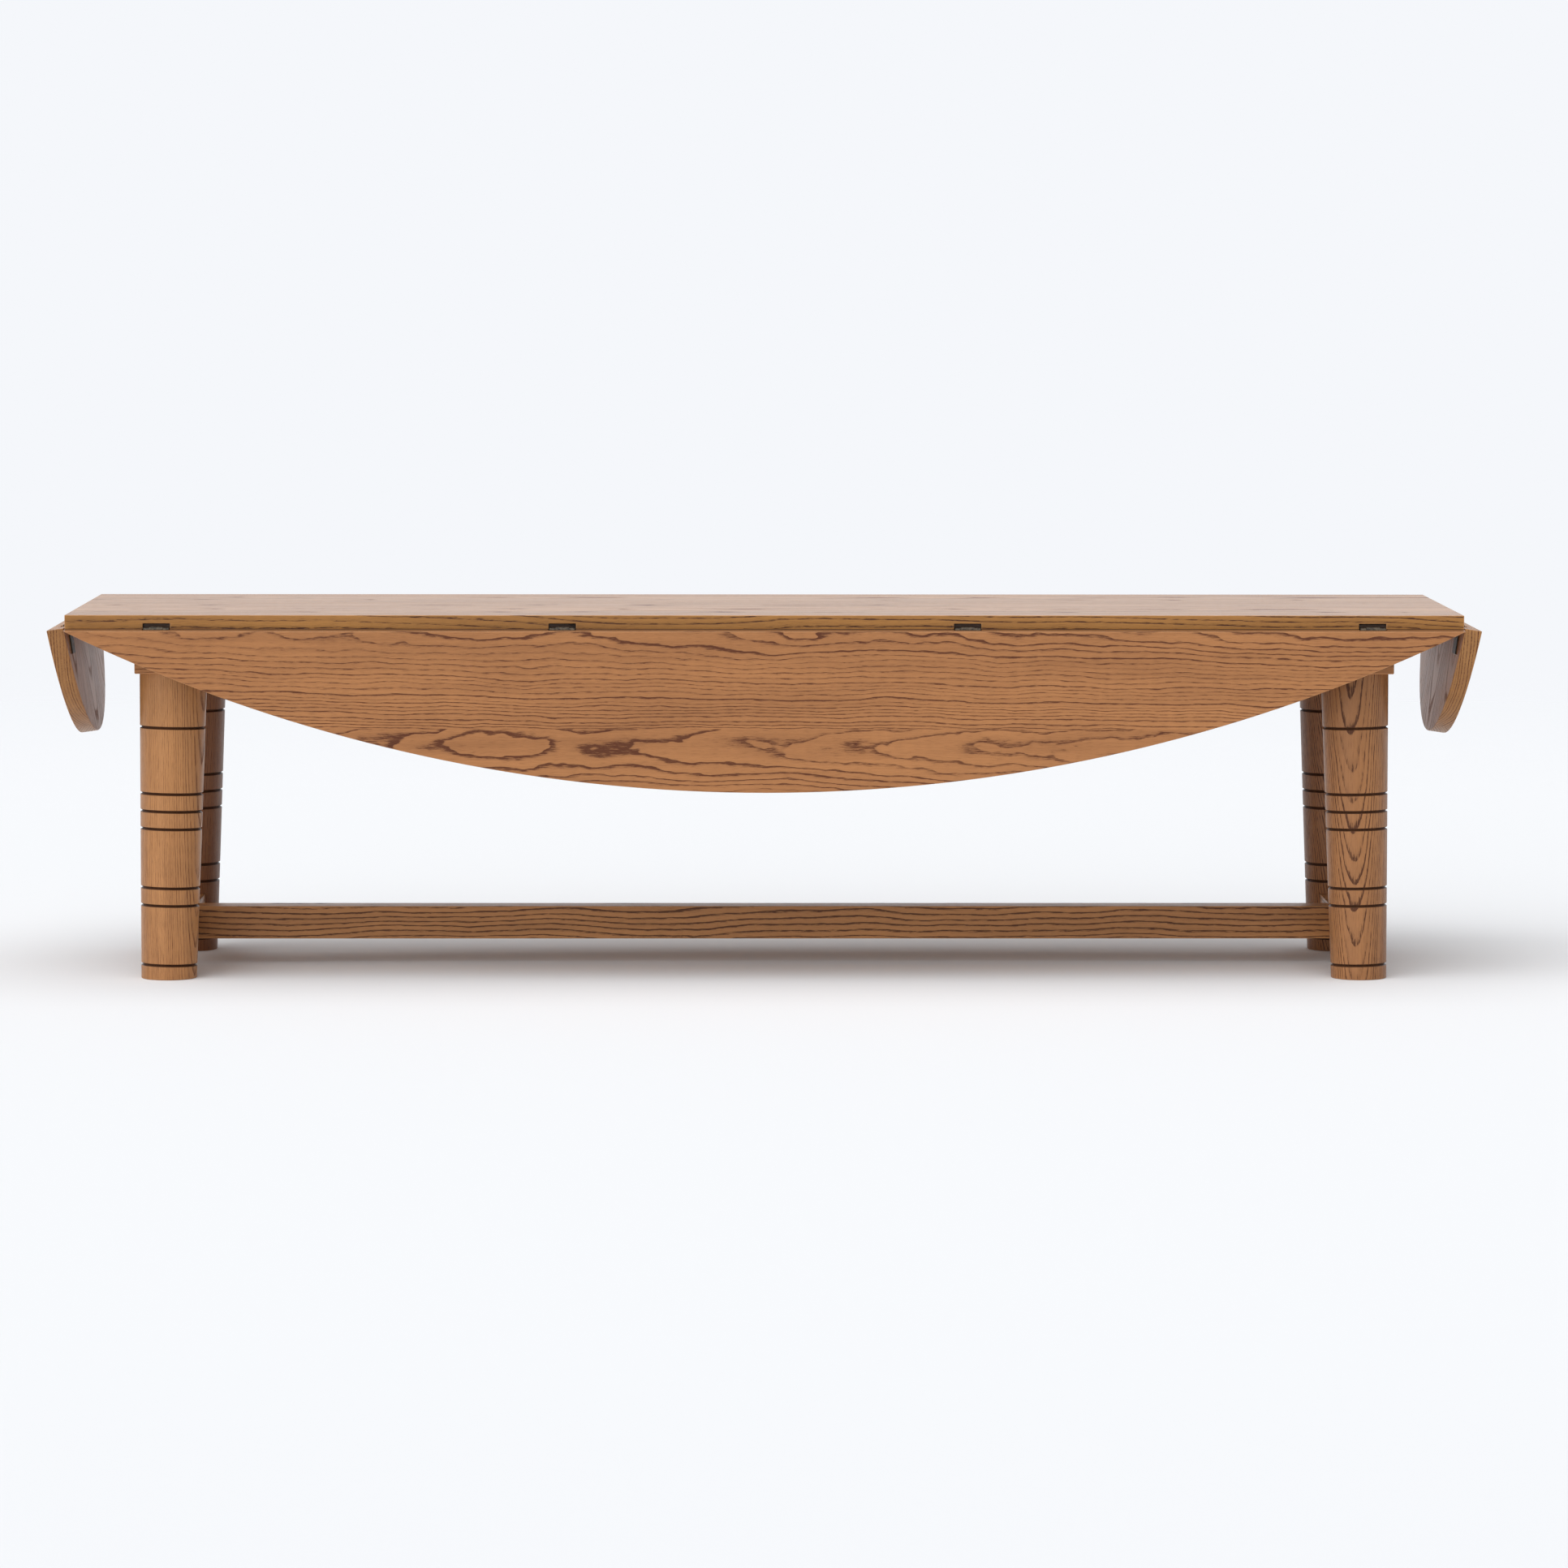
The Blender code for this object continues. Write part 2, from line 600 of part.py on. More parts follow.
def build_stretchers():
    """An H of square rails. It returns the boxes that the end rails need in the legs."""
    low_z, high_z = STRETCHER_CLEARANCE, STRETCHER_TOP
    middle_z = (low_z + high_z) / 2
    centre = leg_centre(1, 1, middle_z)
    half_width = STRETCHER_WIDTH / 2
    half_length = centre.y - leg_radius(middle_z) + STRETCHER_HOUSING
    inner_x = centre.x - half_width
    tenon_x = inner_x + TENON_LENGTH
    half_tenon = (TENON_THICKNESS / 2, TENON_HEIGHT / 2)
    grown = [size + FIT_GAP for size in half_tenon]

    rail_end = inner_x - FIT_GAP
    rail = box_mesh("rail", ((-rail_end, -half_width, low_z), (rail_end, half_width, high_z)))
    tenon = (tenon_x - FIT_GAP, half_tenon[0], middle_z + half_tenon[1])
    tenons = box_mesh("tenons", ((-tenon[0], -tenon[1], middle_z - half_tenon[1]), tenon))
    add_part("long_stretcher", combined_mesh("long_stretcher", rail, united=[tenons]), OILED_WOOD)

    mortise_low = (-tenon_x, -grown[0], middle_z - grown[1])
    mortises = box_mesh("mortises", (mortise_low, (tenon_x, grown[0], middle_z + grown[1])))
    mortise_cutter = add_cutter("stretcher_mortises", mortises)
    sockets = []
    for name, x in LEFT_RIGHT:
        middle_x = x * centre.x
        low = Vector((middle_x - half_width, -half_length, low_z))
        high = Vector((middle_x + half_width, half_length, high_z))
        stretcher = add_part(f"end_stretcher_{name}", box_mesh("end_stretcher", (low, high)), OILED_WOOD)
        cut(stretcher, mortise_cutter)
        gap = Vector((FIT_GAP, FIT_GAP, FIT_GAP))
        sockets.append((low - gap, high + gap))
    return sockets


def build_table():
    sides = table_sides()
    build_top(sides)
    plates = plate_meshes()
    for side in sides:
        leaf_axis = build_leaf(side)
        build_hinges(side, leaf_axis, *plates)
    build_apron(build_slides())
    build_bearers()
    levels, joinery = leg_cutters(build_stretchers())
    build_legs(levels, joinery)
    build_corner_blocks(joinery)


clear_scene()
table = new_collection("drop_leaf_table")
cutters = new_collection("cutters")
build_table()
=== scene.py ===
"""A drop leaf table in oiled, open-grained wood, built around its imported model.

Sizes are in metres. The table stands on the floor with its front facing -Y, and its
four leaves hang.
"""

# %% [markdown]
# # A drop leaf table, finished
#
# The table is a thick slab top on four turned legs. A leaf with a curved edge hangs from
# each side of the slab on small bronze hinges, and wooden slides pull out from the apron
# to hold a raised leaf. The model that we load has every board, leg, hinge and bolt in
# place, at its true size, but with sharp arrises and plain colours. This lesson gives
# each of them its worn edges, its turning, its screws and its wood.

import json
import math

import bmesh
import bpy
from mathutils import Matrix, Vector

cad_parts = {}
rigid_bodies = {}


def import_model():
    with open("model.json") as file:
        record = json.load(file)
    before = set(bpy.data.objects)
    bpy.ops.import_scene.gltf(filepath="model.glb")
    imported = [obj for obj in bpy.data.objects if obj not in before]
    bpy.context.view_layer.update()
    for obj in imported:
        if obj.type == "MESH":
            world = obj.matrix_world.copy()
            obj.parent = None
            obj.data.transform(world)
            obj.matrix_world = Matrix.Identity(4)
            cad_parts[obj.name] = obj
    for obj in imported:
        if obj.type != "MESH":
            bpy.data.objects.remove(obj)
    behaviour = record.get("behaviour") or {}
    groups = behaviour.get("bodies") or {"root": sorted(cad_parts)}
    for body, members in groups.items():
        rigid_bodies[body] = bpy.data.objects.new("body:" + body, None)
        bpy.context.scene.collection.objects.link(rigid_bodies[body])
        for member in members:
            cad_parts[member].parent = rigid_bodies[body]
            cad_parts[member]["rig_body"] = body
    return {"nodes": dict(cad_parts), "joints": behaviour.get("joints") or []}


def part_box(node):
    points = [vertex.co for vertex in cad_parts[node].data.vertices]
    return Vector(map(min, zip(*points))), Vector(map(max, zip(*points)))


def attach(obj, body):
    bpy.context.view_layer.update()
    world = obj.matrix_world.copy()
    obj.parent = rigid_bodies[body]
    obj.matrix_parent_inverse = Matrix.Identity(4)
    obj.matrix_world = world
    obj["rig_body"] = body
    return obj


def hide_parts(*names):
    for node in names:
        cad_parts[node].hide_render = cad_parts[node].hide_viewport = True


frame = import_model()
nodes = frame["nodes"]
joints = {joint["name"]: joint for joint in frame["joints"]}
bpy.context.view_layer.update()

# %% [markdown]
# ## The camera
#
# A long lens from far off keeps the legs upright and the slab's edge straight. The camera
# stands a little above the top, so it looks down by about five degrees. In Blender an
# object is only seen once it is linked into a collection, which a small helper does.

# %% A place in the scene
def add_object(name, data):
    """A new object for a camera, a lamp or a mesh, linked into the scene."""
    added = bpy.data.objects.new(name, data)
    bpy.context.scene.collection.objects.link(added)
    return added


# %% Place the camera
CAMERA_PLACE = Vector((-0.0874, -13.446, 1.532))
CAMERA_YAW = 0.0097
CAMERA_PITCH = 0.0854
CAMERA_ROLL = 0.0010
CAMERA_LENS = 146.1

camera_data = bpy.data.cameras.new("camera")
camera_data.lens = CAMERA_LENS
camera_data.sensor_width = 36
camera_data.clip_end = 200
camera = add_object("camera", camera_data)
camera.matrix_world = (
    Matrix.Translation(CAMERA_PLACE)
    @ Matrix.Rotation(-CAMERA_YAW, 4, "Z")
    @ Matrix.Rotation(math.pi / 2 - CAMERA_PITCH, 4, "X")
    @ Matrix.Rotation(CAMERA_ROLL, 4, "Z")
)
bpy.context.scene.camera = camera
print("camera height:", CAMERA_PLACE.z)

# %% [markdown]
# ## A bench for node trees
#
# A wood grain is a few dozen small sums. Written out node by node they would fill pages,
# so this small class adds a node, feeds it numbers or sockets, and hands back its output.
# Each line that uses it then reads like the sum it makes.


# %% The node bench
class Bench:
    """Adds nodes to one tree. An input may be a number, a colour or another node's socket."""

    def __init__(self, tree):
        self.tree = tree

    def node(self, kind, **settings):
        made = self.tree.nodes.new(kind)
        for name, value in settings.items():
            setattr(made, name, value)
        return made

    def feed(self, socket, value):
        if isinstance(value, bpy.types.NodeSocket):
            self.tree.links.new(value, socket)
        else:
            socket.default_value = value

    def sum(self, operation, *values):
        made = self.node("ShaderNodeMath", operation=operation)
        for socket, value in zip(made.inputs, values):
            self.feed(socket, value)
        return made.outputs[0]

    def sum_all(self, *values):
        total = values[0]
        for value in values[1:]:
            total = self.sum("ADD", total, value)
        return total

    def vector(self, operation, *values):
        made = self.node("ShaderNodeVectorMath", operation=operation)
        for socket, value in zip(made.inputs, values):
            self.feed(socket, value)
        return made.outputs[0]

    def scale(self, vector, factor):
        made = self.node("ShaderNodeVectorMath", operation="SCALE")
        self.feed(made.inputs[0], vector)
        self.feed(made.inputs["Scale"], factor)
        return made.outputs[0]

    def apart(self, vector):
        made = self.node("ShaderNodeSeparateXYZ")
        self.feed(made.inputs[0], vector)
        return made.outputs

    def together(self, x, y, z):
        made = self.node("ShaderNodeCombineXYZ")
        for socket, value in zip(made.inputs, (x, y, z)):
            self.feed(socket, value)
        return made.outputs[0]

    def ramp(self, value, low, high):
        """0 below low and 1 above high, with an easy curve between."""
        made = self.node("ShaderNodeMapRange", interpolation_type="SMOOTHSTEP")
        for name, given in (("Value", value), ("From Min", low), ("From Max", high)):
            self.feed(made.inputs[name], given)
        return made.outputs["Result"]

    def noise(self, vector, stretch, detail=2.0, roughness=0.5):
        """Noise round zero, from -0.5 to 0.5, whose cells are 1 / stretch long each way."""
        made = self.node("ShaderNodeTexNoise")
        self.feed(made.inputs["Vector"], self.vector("MULTIPLY", vector, stretch))
        made.inputs["Scale"].default_value = 1.0
        made.inputs["Detail"].default_value = detail
        made.inputs["Roughness"].default_value = roughness
        return self.sum("SUBTRACT", made.outputs[0], 0.5)

    def luck(self, first, second):
        """Three steady random numbers for a pair of whole numbers."""
        made = self.node("ShaderNodeTexWhiteNoise", noise_dimensions="2D")
        self.feed(made.inputs["Vector"], self.together(first, second, 0.0))
        return self.apart(made.outputs["Color"])

    def relief(self, height, strength, depth):
        made = self.node("ShaderNodeBump")
        made.inputs["Strength"].default_value = strength
        made.inputs["Distance"].default_value = depth
        self.feed(made.inputs["Height"], height)
        return made.outputs[0]

    def mix(self, factor, first, second):
        made = self.node("ShaderNodeMix", data_type="RGBA")
        for index, value in ((0, factor), (6, first), (7, second)):
            self.feed(made.inputs[index], value)
        return made.outputs[2]


def new_group(name, inputs, outputs):
    """An empty node group with its sockets, its bench and its two end nodes."""
    group = bpy.data.node_groups.new(name, "ShaderNodeTree")
    for label, kind, value in inputs:
        socket = group.interface.new_socket(label, in_out="INPUT", socket_type="NodeSocket" + kind)
        if value is not None:
            socket.default_value = value
    for label, kind in outputs:
        group.interface.new_socket(label, in_out="OUTPUT", socket_type="NodeSocket" + kind)
    bench = Bench(group)
    given = bench.node("NodeGroupInput").outputs
    result = bench.node("NodeGroupOutput").inputs
    return group, bench, given, result


print("bench ready")

# %% [markdown]
# ## Open-grained wood
#
# A tree is a stack of cones, one for each year. A board cuts through them, so its lines
# are the places at equal distance from the heart of the tree. We copy that: the group
# measures how far each point is from a wandering heart line, and draws a dark band at
# each ring. Where the heart runs at a slope to the board, the lines close into the
# pointed arches that make this table's leaves so lively. The dark bands are made of
# open pores, so they break up into short streaks along the grain.
#
# The board's own axes come in as a vector: x along the grain, y across it and z out of
# the face. A wide top is glued from narrower boards, and each one gets its own luck.

# %% The boards and their hearts
WOOD_INPUTS = (
    ("Vector", "Vector", None),
    ("Seed", "Float", 1.0),
    ("Board Width", "Float", 10.0),
    ("Board Shift", "Float", 5.0),
    ("Ring Width", "Float", 0.0065),
    ("Heart Across", "Float", 0.0),
    ("Heart Depth", "Float", 0.1),
    ("Climb", "Float", 0.035),
    ("Wander", "Float", 0.012),
    ("Ripple", "Float", 0.006),
    ("Variety", "Float", 1.0),
    ("Lines", "Float", 1.0),
    ("Light", "Color", (0.55, 0.28, 0.14, 1)),
    ("Dark", "Color", (0.17, 0.055, 0.025, 1)),
)
WOOD_OUTPUTS = (("Color", "Color"), ("Roughness", "Float"), ("Height", "Float"))
wood_group, bench, given, result = new_group("open-grained wood", WOOD_INPUTS, WOOD_OUTPUTS)

HEART_SWING = 0.09  # metres that luck moves a heart sideways
DEPTH_SWING = 0.9  # the share by which luck deepens it
TURNED_OVER_ABOVE = 0.18  # luck above this turns a board end for end
BOARD_STEP = (3.7, 1.3)  # metres between the boards' places in the noise

along, across, out = bench.apart(given["Vector"])
boards_over = bench.sum(
    "DIVIDE", bench.sum("ADD", across, given["Board Shift"]), given["Board Width"]
)
board = bench.sum("FLOOR", boards_over)
from_middle = bench.sum(
    "MULTIPLY",
    bench.sum("SUBTRACT", bench.sum("FRACT", boards_over), 0.5),
    given["Board Width"],
)
board_luck = bench.luck(board, given["Seed"])
swings = [
    bench.sum("MULTIPLY", bench.sum("SUBTRACT", luck, 0.5), given["Variety"])
    for luck in board_luck
]
heart_across = bench.sum(
    "ADD", given["Heart Across"], bench.sum("MULTIPLY", swings[0], HEART_SWING)
)
heart_depth = bench.sum(
    "MULTIPLY", given["Heart Depth"], bench.sum("MULTIPLY_ADD", swings[1], DEPTH_SWING, 1.0)
)
turned_over = bench.sum("GREATER_THAN", swings[2], TURNED_OVER_ABOVE)
climb = bench.sum(
    "MULTIPLY", given["Climb"], bench.sum("MULTIPLY_ADD", turned_over, -2.0, 1.0)
)
shift = bench.together(*(bench.sum("MULTIPLY", board, step) for step in BOARD_STEP), given["Seed"])
place = bench.vector("ADD", given["Vector"], shift)
print("heart of each board:", len(wood_group.nodes), "nodes")

# %% [markdown]
# The heart wanders slowly from side to side and up and down, which bends the lines and
# now and then closes one into an eye. A finer waviness follows, and then the distance
# is divided by the ring's width. Years differ, so the rings are spaced unevenly. A noise
# takes its cells per metre along the grain, across it and through the board: few cells
# along the grain make long shapes.

# %% The rings
WANDER_GAIN = 2.6  # brings the noise up to about the width that Wander names
RING_UNEVEN = 1.9  # rings by which the years may run early or late

side_wander = bench.noise(place, (1.7, 3.0, 3.0), 1.0)
up_wander = bench.noise(bench.vector("ADD", place, (7.3, 2.9, 4.1)), (2.3, 3.5, 3.5), 1.0)
ripple = bench.noise(place, (5.5, 14.0, 14.0), 3.0, 0.55)
wander_out = bench.sum("MULTIPLY", given["Wander"], WANDER_GAIN)
off_side = bench.sum(
    "ADD",
    bench.sum("SUBTRACT", from_middle, heart_across),
    bench.sum("MULTIPLY", side_wander, wander_out),
)
off_depth = bench.sum_all(
    heart_depth,
    out,
    bench.sum("MULTIPLY", climb, along),
    bench.sum("MULTIPLY", up_wander, wander_out),
)
radius = bench.sum(
    "SQRT",
    bench.sum(
        "ADD",
        bench.sum("MULTIPLY", off_side, off_side),
        bench.sum("MULTIPLY", off_depth, off_depth),
    ),
)
radius = bench.sum("MULTIPLY_ADD", ripple, given["Ripple"], radius)
years = bench.together(radius, board, given["Seed"])
uneven = bench.noise(years, (34.0, 1.0, 1.0), 1.0)
phase = bench.sum(
    "MULTIPLY_ADD", uneven, RING_UNEVEN, bench.sum("DIVIDE", radius, given["Ring Width"])
)
year = bench.sum("FLOOR", phase)
season = bench.sum("FRACT", phase)
year_luck = bench.luck(year, board)
print("rings:", len(wood_group.nodes), "nodes")

# %% [markdown]
# In each ring the band starts sharply, where the tree began to grow in spring, and fades
# slowly. Long thin pores break it up. Some years leave a bold band and some a faint one.
# Under the bands lie fine streaks, a slow drift of tone, and a faint curl across the
# grain that shows as soft vertical ripples.

# %% The bands, pores and streaks
BAND_RISE = (0.0, 0.10)  # the part of a year in which the band starts
BAND_FADE = (0.08, 0.62)  # and in which it fades
FAINTEST, BOLDER = 0.62, 0.55  # a faint year's band, and what a bold year adds
BREAKS = 1.6  # how far the pores break up a line
GROWTH = 0.62  # how much of a line its band makes
LINE_EDGE = (0.33, 0.66)

band = bench.sum(
    "MULTIPLY",
    bench.ramp(season, *BAND_RISE),
    bench.sum("SUBTRACT", 1.0, bench.ramp(season, *BAND_FADE)),
)
boldness = bench.sum("MULTIPLY_ADD", year_luck[0], BOLDER, FAINTEST)
dashes = bench.noise(place, (38.0, 560.0, 560.0), 3.0, 0.7)
fine_pores = bench.ramp(bench.noise(place, (48.0, 900.0, 900.0), 1.0), 0.02, 0.20)
streaks = bench.noise(place, (7.0, 260.0, 260.0), 2.0, 0.6)
soft_streaks = bench.noise(place, (2.4, 52.0, 52.0), 1.0)
drift = bench.noise(place, (1.6, 9.0, 9.0), 2.0)
curl = bench.noise(place, (46.0, 5.0, 5.0), 1.0)
grown = bench.sum("MULTIPLY", bench.sum("MULTIPLY", band, boldness), GROWTH)
line = bench.ramp(bench.sum("MULTIPLY_ADD", dashes, BREAKS, grown), *LINE_EDGE)
print("bands and pores:", len(wood_group.nodes), "nodes")

# %% [markdown]
# Each layer has its share in the darkness, which mixes the light wood with the dark. The
# same layers make the surface: a pore is a small rough pit, and a streak stands proud.

# %% Mix the layers
DARK_SHARES = (
    (fine_pores, 0.20),
    (band, 0.16),
    (streaks, 0.30),
    (soft_streaks, 0.34),
    (drift, 0.55),
)
LINE_SHARE = 0.72
ALL_OVER = 0.13
CURL_SHINE, BOARD_SHINE = 0.10, 0.16
SMOOTHEST = 0.36

darkness = bench.sum_all(
    bench.sum("MULTIPLY", line, bench.sum("MULTIPLY", given["Lines"], LINE_SHARE)),
    *(bench.sum("MULTIPLY", layer, share) for layer, share in DARK_SHARES),
    ALL_OVER,
)
brightness = bench.sum_all(
    1.0, bench.sum("MULTIPLY", curl, CURL_SHINE), bench.sum("MULTIPLY", swings[1], BOARD_SHINE)
)
darkness = bench.sum("MINIMUM", bench.sum("MAXIMUM", darkness, 0.0), 1.0)
wood_colour = bench.mix(darkness, given["Light"], given["Dark"])
bench.feed(result["Color"], bench.scale(wood_colour, brightness))
bench.feed(
    result["Roughness"],
    bench.sum_all(
        SMOOTHEST, bench.sum("MULTIPLY", line, 0.24), bench.sum("MULTIPLY", streaks, 0.14)
    ),
)
bench.feed(
    result["Height"],
    bench.sum_all(
        bench.sum("MULTIPLY", line, -0.75),
        bench.sum("MULTIPLY", fine_pores, -0.25),
        bench.sum("MULTIPLY", streaks, 0.22),
    ),
)
print("open-grained wood:", len(wood_group.nodes), "nodes")

# %% [markdown]
# ## Worn arrises
#
# An arris is the edge where two faces meet. Hands, cloths and chairs rub it, so the oil
# thins there and the wood turns paler and smoother, while bronze shows its metal. Every
# eased edge that we cut later is marked with a number called arris, and this group
# mixes in a rubbed colour there, in patches.

# %% The rubbed edge
rubbed_group, bench, given, result = new_group(
    "rubbed arris",
    (
        ("Vector", "Vector", None),
        ("Color", "Color", (0.5, 0.5, 0.5, 1)),
        ("Rubbed", "Color", (0.6, 0.6, 0.6, 1)),
        ("Amount", "Float", 0.6),
    ),
    (("Color", "Color"), ("Mask", "Float")),
)
marked = bench.node("ShaderNodeAttribute", attribute_name="arris").outputs["Fac"]
patches = bench.ramp(bench.noise(given["Vector"], (21.0, 21.0, 21.0), 3.0, 0.6), -0.16, 0.16)
rubbed = bench.sum(
    "MULTIPLY",
    bench.sum("MULTIPLY", marked, given["Amount"]),
    bench.sum("MULTIPLY_ADD", patches, 0.7, 0.3),
)
bench.feed(result["Mask"], rubbed)
bench.feed(result["Color"], bench.mix(rubbed, given["Color"], given["Rubbed"]))
print("rubbed arris:", len(rubbed_group.nodes), "nodes")

# %% [markdown]
# ## One finish for each board
#
# Real boards are never alike, so each big piece has its own material, made from the same
# two groups. A Mapping node of the texture kind stands at the board's own place, with
# its x axis along the grain and its z axis out of the show face. The tree runs through
# the whole solid, so the edge of a board shows the same rings as its face.


# %% A wooden material
def board_place(origin, along, out):
    """The frame of a board: its grain runs along x, and its show face looks along z."""
    along, out = Vector(along).normalized(), Vector(out).normalized()
    columns = Matrix((along, out.cross(along), out)).transposed()
    return Matrix.Translation(origin) @ columns.to_4x4()


def new_material(name):
    material = bpy.data.materials.new(name)
    material.use_nodes = True
    tree = material.node_tree
    shader = tree.nodes["Principled BSDF"]
    return material, Bench(tree), shader


LIGHT_WOOD = (0.50, 0.216, 0.076, 1)
DARK_WOOD = (0.110, 0.028, 0.006, 1)
RUBBED_WOOD = (0.56, 0.28, 0.115, 1)
# Where a deep colour is given, painted shade darkens the wood between these depths.
PAINTED_SHADE_DEPTHS = (-0.027, -0.019)  # metres from the show face
PORE_DEPTH = 0.0006


def wood_finish(
    name, place, light=LIGHT_WOOD, dark=DARK_WOOD, rubbed=0.45, polish=0.0, deep=None, **grain
):
    """A wooden material at a board's place. The grain settings are the group's inputs.

    With deep, a colour, the wood darkens to it well behind the show face, as painted shade.
    """
    material, bench, shader = new_material(name)
    coordinates = bench.node("ShaderNodeTexCoord").outputs["Object"]
    mapping = bench.node("ShaderNodeMapping", vector_type="TEXTURE")
    mapping.inputs["Location"].default_value = place.translation
    mapping.inputs["Rotation"].default_value = place.to_euler("XYZ")
    bench.feed(mapping.inputs["Vector"], coordinates)
    wood = bench.node("ShaderNodeGroup", node_tree=wood_group)
    bench.feed(wood.inputs["Vector"], mapping.outputs[0])
    for label, value in grain.items():
        wood.inputs[label.replace("_", " ").title()].default_value = value
    wood.inputs["Light"].default_value = light
    wood.inputs["Dark"].default_value = dark
    # Painted shade: the wood darkens to the deep colour behind the show face.
    if deep:
        behind = bench.ramp(bench.apart(mapping.outputs[0])[2], *PAINTED_SHADE_DEPTHS)
        bench.feed(wood.inputs["Light"], bench.mix(behind, deep, light))
    arris = bench.node("ShaderNodeGroup", node_tree=rubbed_group)
    bench.feed(arris.inputs["Vector"], mapping.outputs[0])
    bench.feed(arris.inputs["Color"], wood.outputs["Color"])
    arris.inputs["Rubbed"].default_value = RUBBED_WOOD
    arris.inputs["Amount"].default_value = rubbed
    relief = bench.relief(wood.outputs["Height"], 0.55, PORE_DEPTH)
    bench.feed(shader.inputs["Base Color"], arris.outputs["Color"])
    bench.feed(shader.inputs["Roughness"], wood.outputs["Roughness"])
    bench.feed(shader.inputs["Normal"], relief)
    shader.inputs["Specular IOR Level"].default_value = 0.35
    shader.inputs["Coat Weight"].default_value = polish
    shader.inputs["Coat Roughness"].default_value = 0.16
    return material


print("grain runs along x of each board's place")

# %% [markdown]
# ## Dark bronze and steel
#
# The hinges are small, dark, antiqued bronze: nearly black in the hollows, with a brown
# bloom on the plates and brighter metal where the knuckles rub. The screws share the
# bronze, and the bolts under the corner blocks are plain zinc-grey steel with faint
# smudges.


# %% The metals
SPECK_DEPTH = 0.0002


def metal_finish(name, deep, bloom, rubbed, base_roughness, metallic, grain_size):
    """A metal with a mottled bloom, brighter on its rubbed edges."""
    material, bench, shader = new_material(name)
    coordinates = bench.node("ShaderNodeTexCoord").outputs["Object"]
    cells = (1 / grain_size,) * 3
    mottle = bench.ramp(bench.noise(coordinates, cells, 4.0, 0.65), -0.14, 0.16)
    specks = bench.noise(coordinates, tuple(value * 6 for value in cells), 2.0, 0.6)
    arris = bench.node("ShaderNodeGroup", node_tree=rubbed_group)
    bench.feed(arris.inputs["Vector"], coordinates)
    bench.feed(arris.inputs["Color"], bench.mix(mottle, deep, bloom))
    arris.inputs["Rubbed"].default_value = rubbed
    arris.inputs["Amount"].default_value = 0.7
    bench.feed(shader.inputs["Base Color"], arris.outputs["Color"])
    roughness = bench.sum_all(
        base_roughness,
        bench.sum("MULTIPLY", mottle, 0.16),
        bench.sum("MULTIPLY", arris.outputs["Mask"], -0.12),
    )
    bench.feed(shader.inputs["Roughness"], roughness)
    shader.inputs["Metallic"].default_value = metallic
    relief = bench.relief(bench.sum("ADD", specks, mottle), 0.35, SPECK_DEPTH)
    bench.feed(shader.inputs["Normal"], relief)
    return material


bronze_finish = metal_finish(
    "dark bronze",
    deep=(0.018, 0.015, 0.012, 1),
    bloom=(0.080, 0.061, 0.042, 1),
    rubbed=(0.16, 0.12, 0.075, 1),
    base_roughness=0.34,
    metallic=0.8,
    grain_size=0.006,
)
steel_finish = metal_finish(
    "bolt steel",
    deep=(0.36, 0.36, 0.35, 1),
    bloom=(0.50, 0.49, 0.47, 1),
    rubbed=(0.66, 0.65, 0.63, 1),
    base_roughness=0.28,
    metallic=1.0,
    grain_size=0.009,
)
print("metals:", bronze_finish.name, "and", steel_finish.name)

# %% [markdown]
# ## Easing the arrises
#
# A maker runs a plane or a sandpaper block along every sharp edge. In Blender that is a
# bevel. Each board's model mesh comes as loose triangles, so a copy is merged, its flat
# faces are joined again, and the bevel then rounds only the sharp edges. The bevel tells
# us which faces it made, and those are marked as arris for the rubbed-edge group.

# %% Ease one part
MERGE_DISTANCE = 2e-6
FLAT_ANGLE = math.radians(0.5)
SHARP_ANGLE = math.radians(25)
SMOOTH_ANGLE = math.radians(32)
BOARD_EASE = 0.0015


def merged_bmesh(node):
    """A copy of a part's mesh with its triangles joined into whole faces again."""
    shape = bmesh.new()
    shape.from_mesh(nodes[node].data)
    for face in shape.faces:
        face.material_index = 0
    bmesh.ops.remove_doubles(shape, verts=shape.verts, dist=MERGE_DISTANCE)
    bmesh.ops.dissolve_limit(shape, angle_limit=FLAT_ANGLE, verts=shape.verts, edges=shape.edges)
    return shape


def sharp_edges(shape, longer_than):
    """The edges worth easing: sharp ones, long enough to hold the bevel."""
    return [
        edge
        for edge in shape.edges
        if edge.is_manifold
        and edge.calc_face_angle(0.0) > SHARP_ANGLE
        and edge.calc_length() > longer_than
    ]


def ease_edges(shape, edges, ease, segments):
    """Rounds some edges, and marks the new faces as arris."""
    mark = shape.faces.layers.float.new("arris")
    made = bmesh.ops.bevel(
        shape,
        geom=edges,
        offset=ease,
        offset_type="OFFSET",
        affect="EDGES",
        segments=segments,
        profile=0.5,
        material=-1,
        clamp_overlap=True,
    )
    for face in made["faces"]:
        face[mark] = 1.0


def mesh_of(name, shape):
    """A mesh made of a bmesh, which is then done with."""
    mesh = bpy.data.meshes.new(name)
    shape.to_mesh(mesh)
    shape.free()
    return mesh


def finish_piece(name, shape, materials, body, replaced=()):
    """Makes an object of a bmesh, with its materials, and sets it on its body."""
    mesh = mesh_of(name, shape)
    piece = add_object(name, mesh)
    for material in materials:
        mesh.materials.append(material)
    mesh.shade_smooth()
    mesh.set_sharp_from_angle(angle=SMOOTH_ANGLE)
    weighted = piece.modifiers.new("flat faces stay flat", "WEIGHTED_NORMAL")
    weighted.keep_sharp = True
    weighted.weight = 100
    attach(piece, body)
    if replaced:
        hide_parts(*replaced)
    return piece


